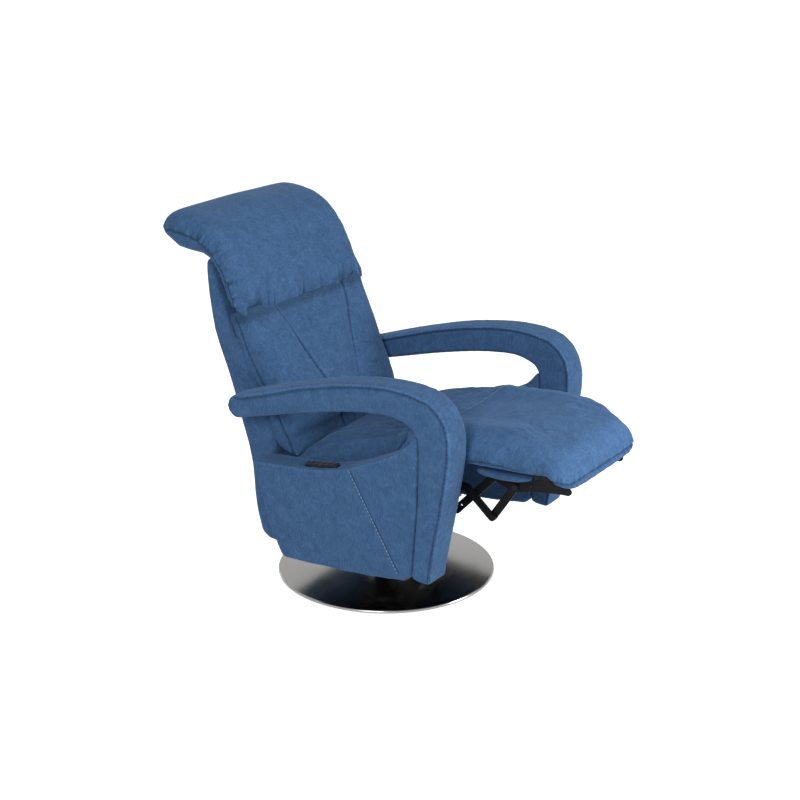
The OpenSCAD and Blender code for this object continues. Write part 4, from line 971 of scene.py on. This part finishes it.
def make_tight(name, node, seed, voxel, seam_x=None):
    """A tight cover, with an upright seam on its rear face at seam_x on both sides if that is given."""
    obj = skin(name, node, rounds=2, voxel=voxel)
    refine(obj)
    co = points(obj)
    amount = 0.8 * MM * folds(co[:, 0] + co[:, 1], co[:, 2], 100 * MM, 80 * MM, seed)
    shade_and_wear = np.zeros(len(co))
    if seam_x:
        facing = outward(obj) @ np.array(INTO_BACK)
        seam = groove(np.abs(co[:, 0]) - seam_x, 2.8 * MM) * fade(facing, 0.6, 0.3)
        amount -= 3.4 * MM * seam + DRAWN_IN * fade(facing, -0.5, -0.2)
        # The seam is also darkened with painted shade.
        shade_and_wear = -0.8 * seam
    swell(obj, amount)
    finish_cover(obj, node, shade_and_wear)
    return obj


shell_cover = make_tight("back_shell_cover", "back_shell", 71, voxel=7.5 * MM, seam_x=SHELL_SEAM_X)
for side_name, sign in SIDES:
    line = [from_back(sign * (SHELL_SEAM_X + 5 * MM), 0.4, h) for h in np.linspace(-0.18, 0.42, 16)]
    sew("back_shell_stitches_" + side_name, shell_cover, line, -INTO_BACK, DARK_THREAD,
        pitch=11 * MM, dash=8 * MM, thick=THICK_THREAD, body="backrest")
make_tight("footrest_roll_covers", "footrest_side_rolls", 72, voxel=VOXEL)

# %% [markdown]
# The stage is a plain white floor under four soft lights: a weak one overhead, one low in front that shows the folds,
# a large one on the near side, and a weak one behind. For the camera and for reflections the floor and the world glow
# by themselves, so that they look white without any more light on the chair.

# %% Floor, light and background
WHITE = (1, 1, 1, 1)
FLOOR_GLOW, ROOM_LIGHT = 0.85, 0.26
FLOOR_HALF = 20
CHAIR_MIDDLE, CHAIR_LOWER = (0, 0, 0.5), (0, 0, 0.4)
SOFTBOXES = [("overhead_softbox", (-0.3, -0.9, 3.0), CHAIR_LOWER, 1.4, 16),
             ("key_softbox", (1.0, -2.9, 0.95), CHAIR_MIDDLE, 0.7, 40),
             ("fill_softbox", (-3.4, -1.2, 2.3), CHAIR_MIDDLE, 1.1, 70),
             ("rear_softbox", (1.8, 3.4, 2.0), CHAIR_MIDDLE, 1.4, 16)]


def seen_or_mirrored(tree):
    """1 where the camera sees the surface, by itself or in something glossy, and 0 where it only lights others."""
    ray = add(tree, "ShaderNodeLightPath")
    return add(tree, "ShaderNodeMath", {0: ray.outputs["Is Camera Ray"], 1: ray.outputs["Is Glossy Ray"]},
               operation="MAXIMUM").outputs[0]


def stage_floor():
    material, tree = new_material("white_paper_sweep")
    glow = add(tree, "ShaderNodeEmission", {"Color": WHITE, "Strength": FLOOR_GLOW})
    dark = add(tree, "ShaderNodeEmission", {"Strength": 0.0})
    lift = add(tree, "ShaderNodeMixShader", {0: seen_or_mirrored(tree), 1: dark.outputs[0], 2: glow.outputs[0]})
    paper = add(tree, "ShaderNodeBsdfDiffuse", {"Color": linear("#F1F1F2")})
    both = add(tree, "ShaderNodeAddShader", {0: lift.outputs[0], 1: paper.outputs[0]})
    finish_material(tree, both)
    corners = [(x * FLOOR_HALF, y * FLOOR_HALF, 0) for x, y in ((-1, -1), (1, -1), (1, 1), (-1, 1))]
    floor = new_object("floor", corners, [(0, 1, 2, 3)])
    floor.data.materials.append(material)


def softbox(name, position, target, size, power):
    lamp = bpy.data.lights.new(name, "AREA")
    lamp.shape, lamp.size, lamp.size_y, lamp.energy = "RECTANGLE", size, size, power
    obj = bpy.data.objects.new(name, lamp)
    obj.location = position
    obj.rotation_euler = (Vector(target) - Vector(position)).to_track_quat("-Z", "Y").to_euler()
    scene.collection.objects.link(obj)


def white_world():
    world = bpy.data.worlds.new("studio")
    scene.world = world
    world.use_nodes = True
    tree = world.node_tree
    tree.nodes.clear()
    room = add(tree, "ShaderNodeBackground", {"Color": WHITE, "Strength": ROOM_LIGHT})
    white = add(tree, "ShaderNodeBackground", {"Color": WHITE, "Strength": 1.0})
    mix = add(tree, "ShaderNodeMixShader", {0: seen_or_mirrored(tree), 1: room.outputs[0], 2: white.outputs[0]})
    add(tree, "ShaderNodeOutputWorld", {"Surface": mix.outputs[0]})


stage_floor()
white_world()
for softbox_name, position, target, size, power in SOFTBOXES:
    softbox(softbox_name, position, target, size, power)
scene.view_settings.view_transform = "Standard"
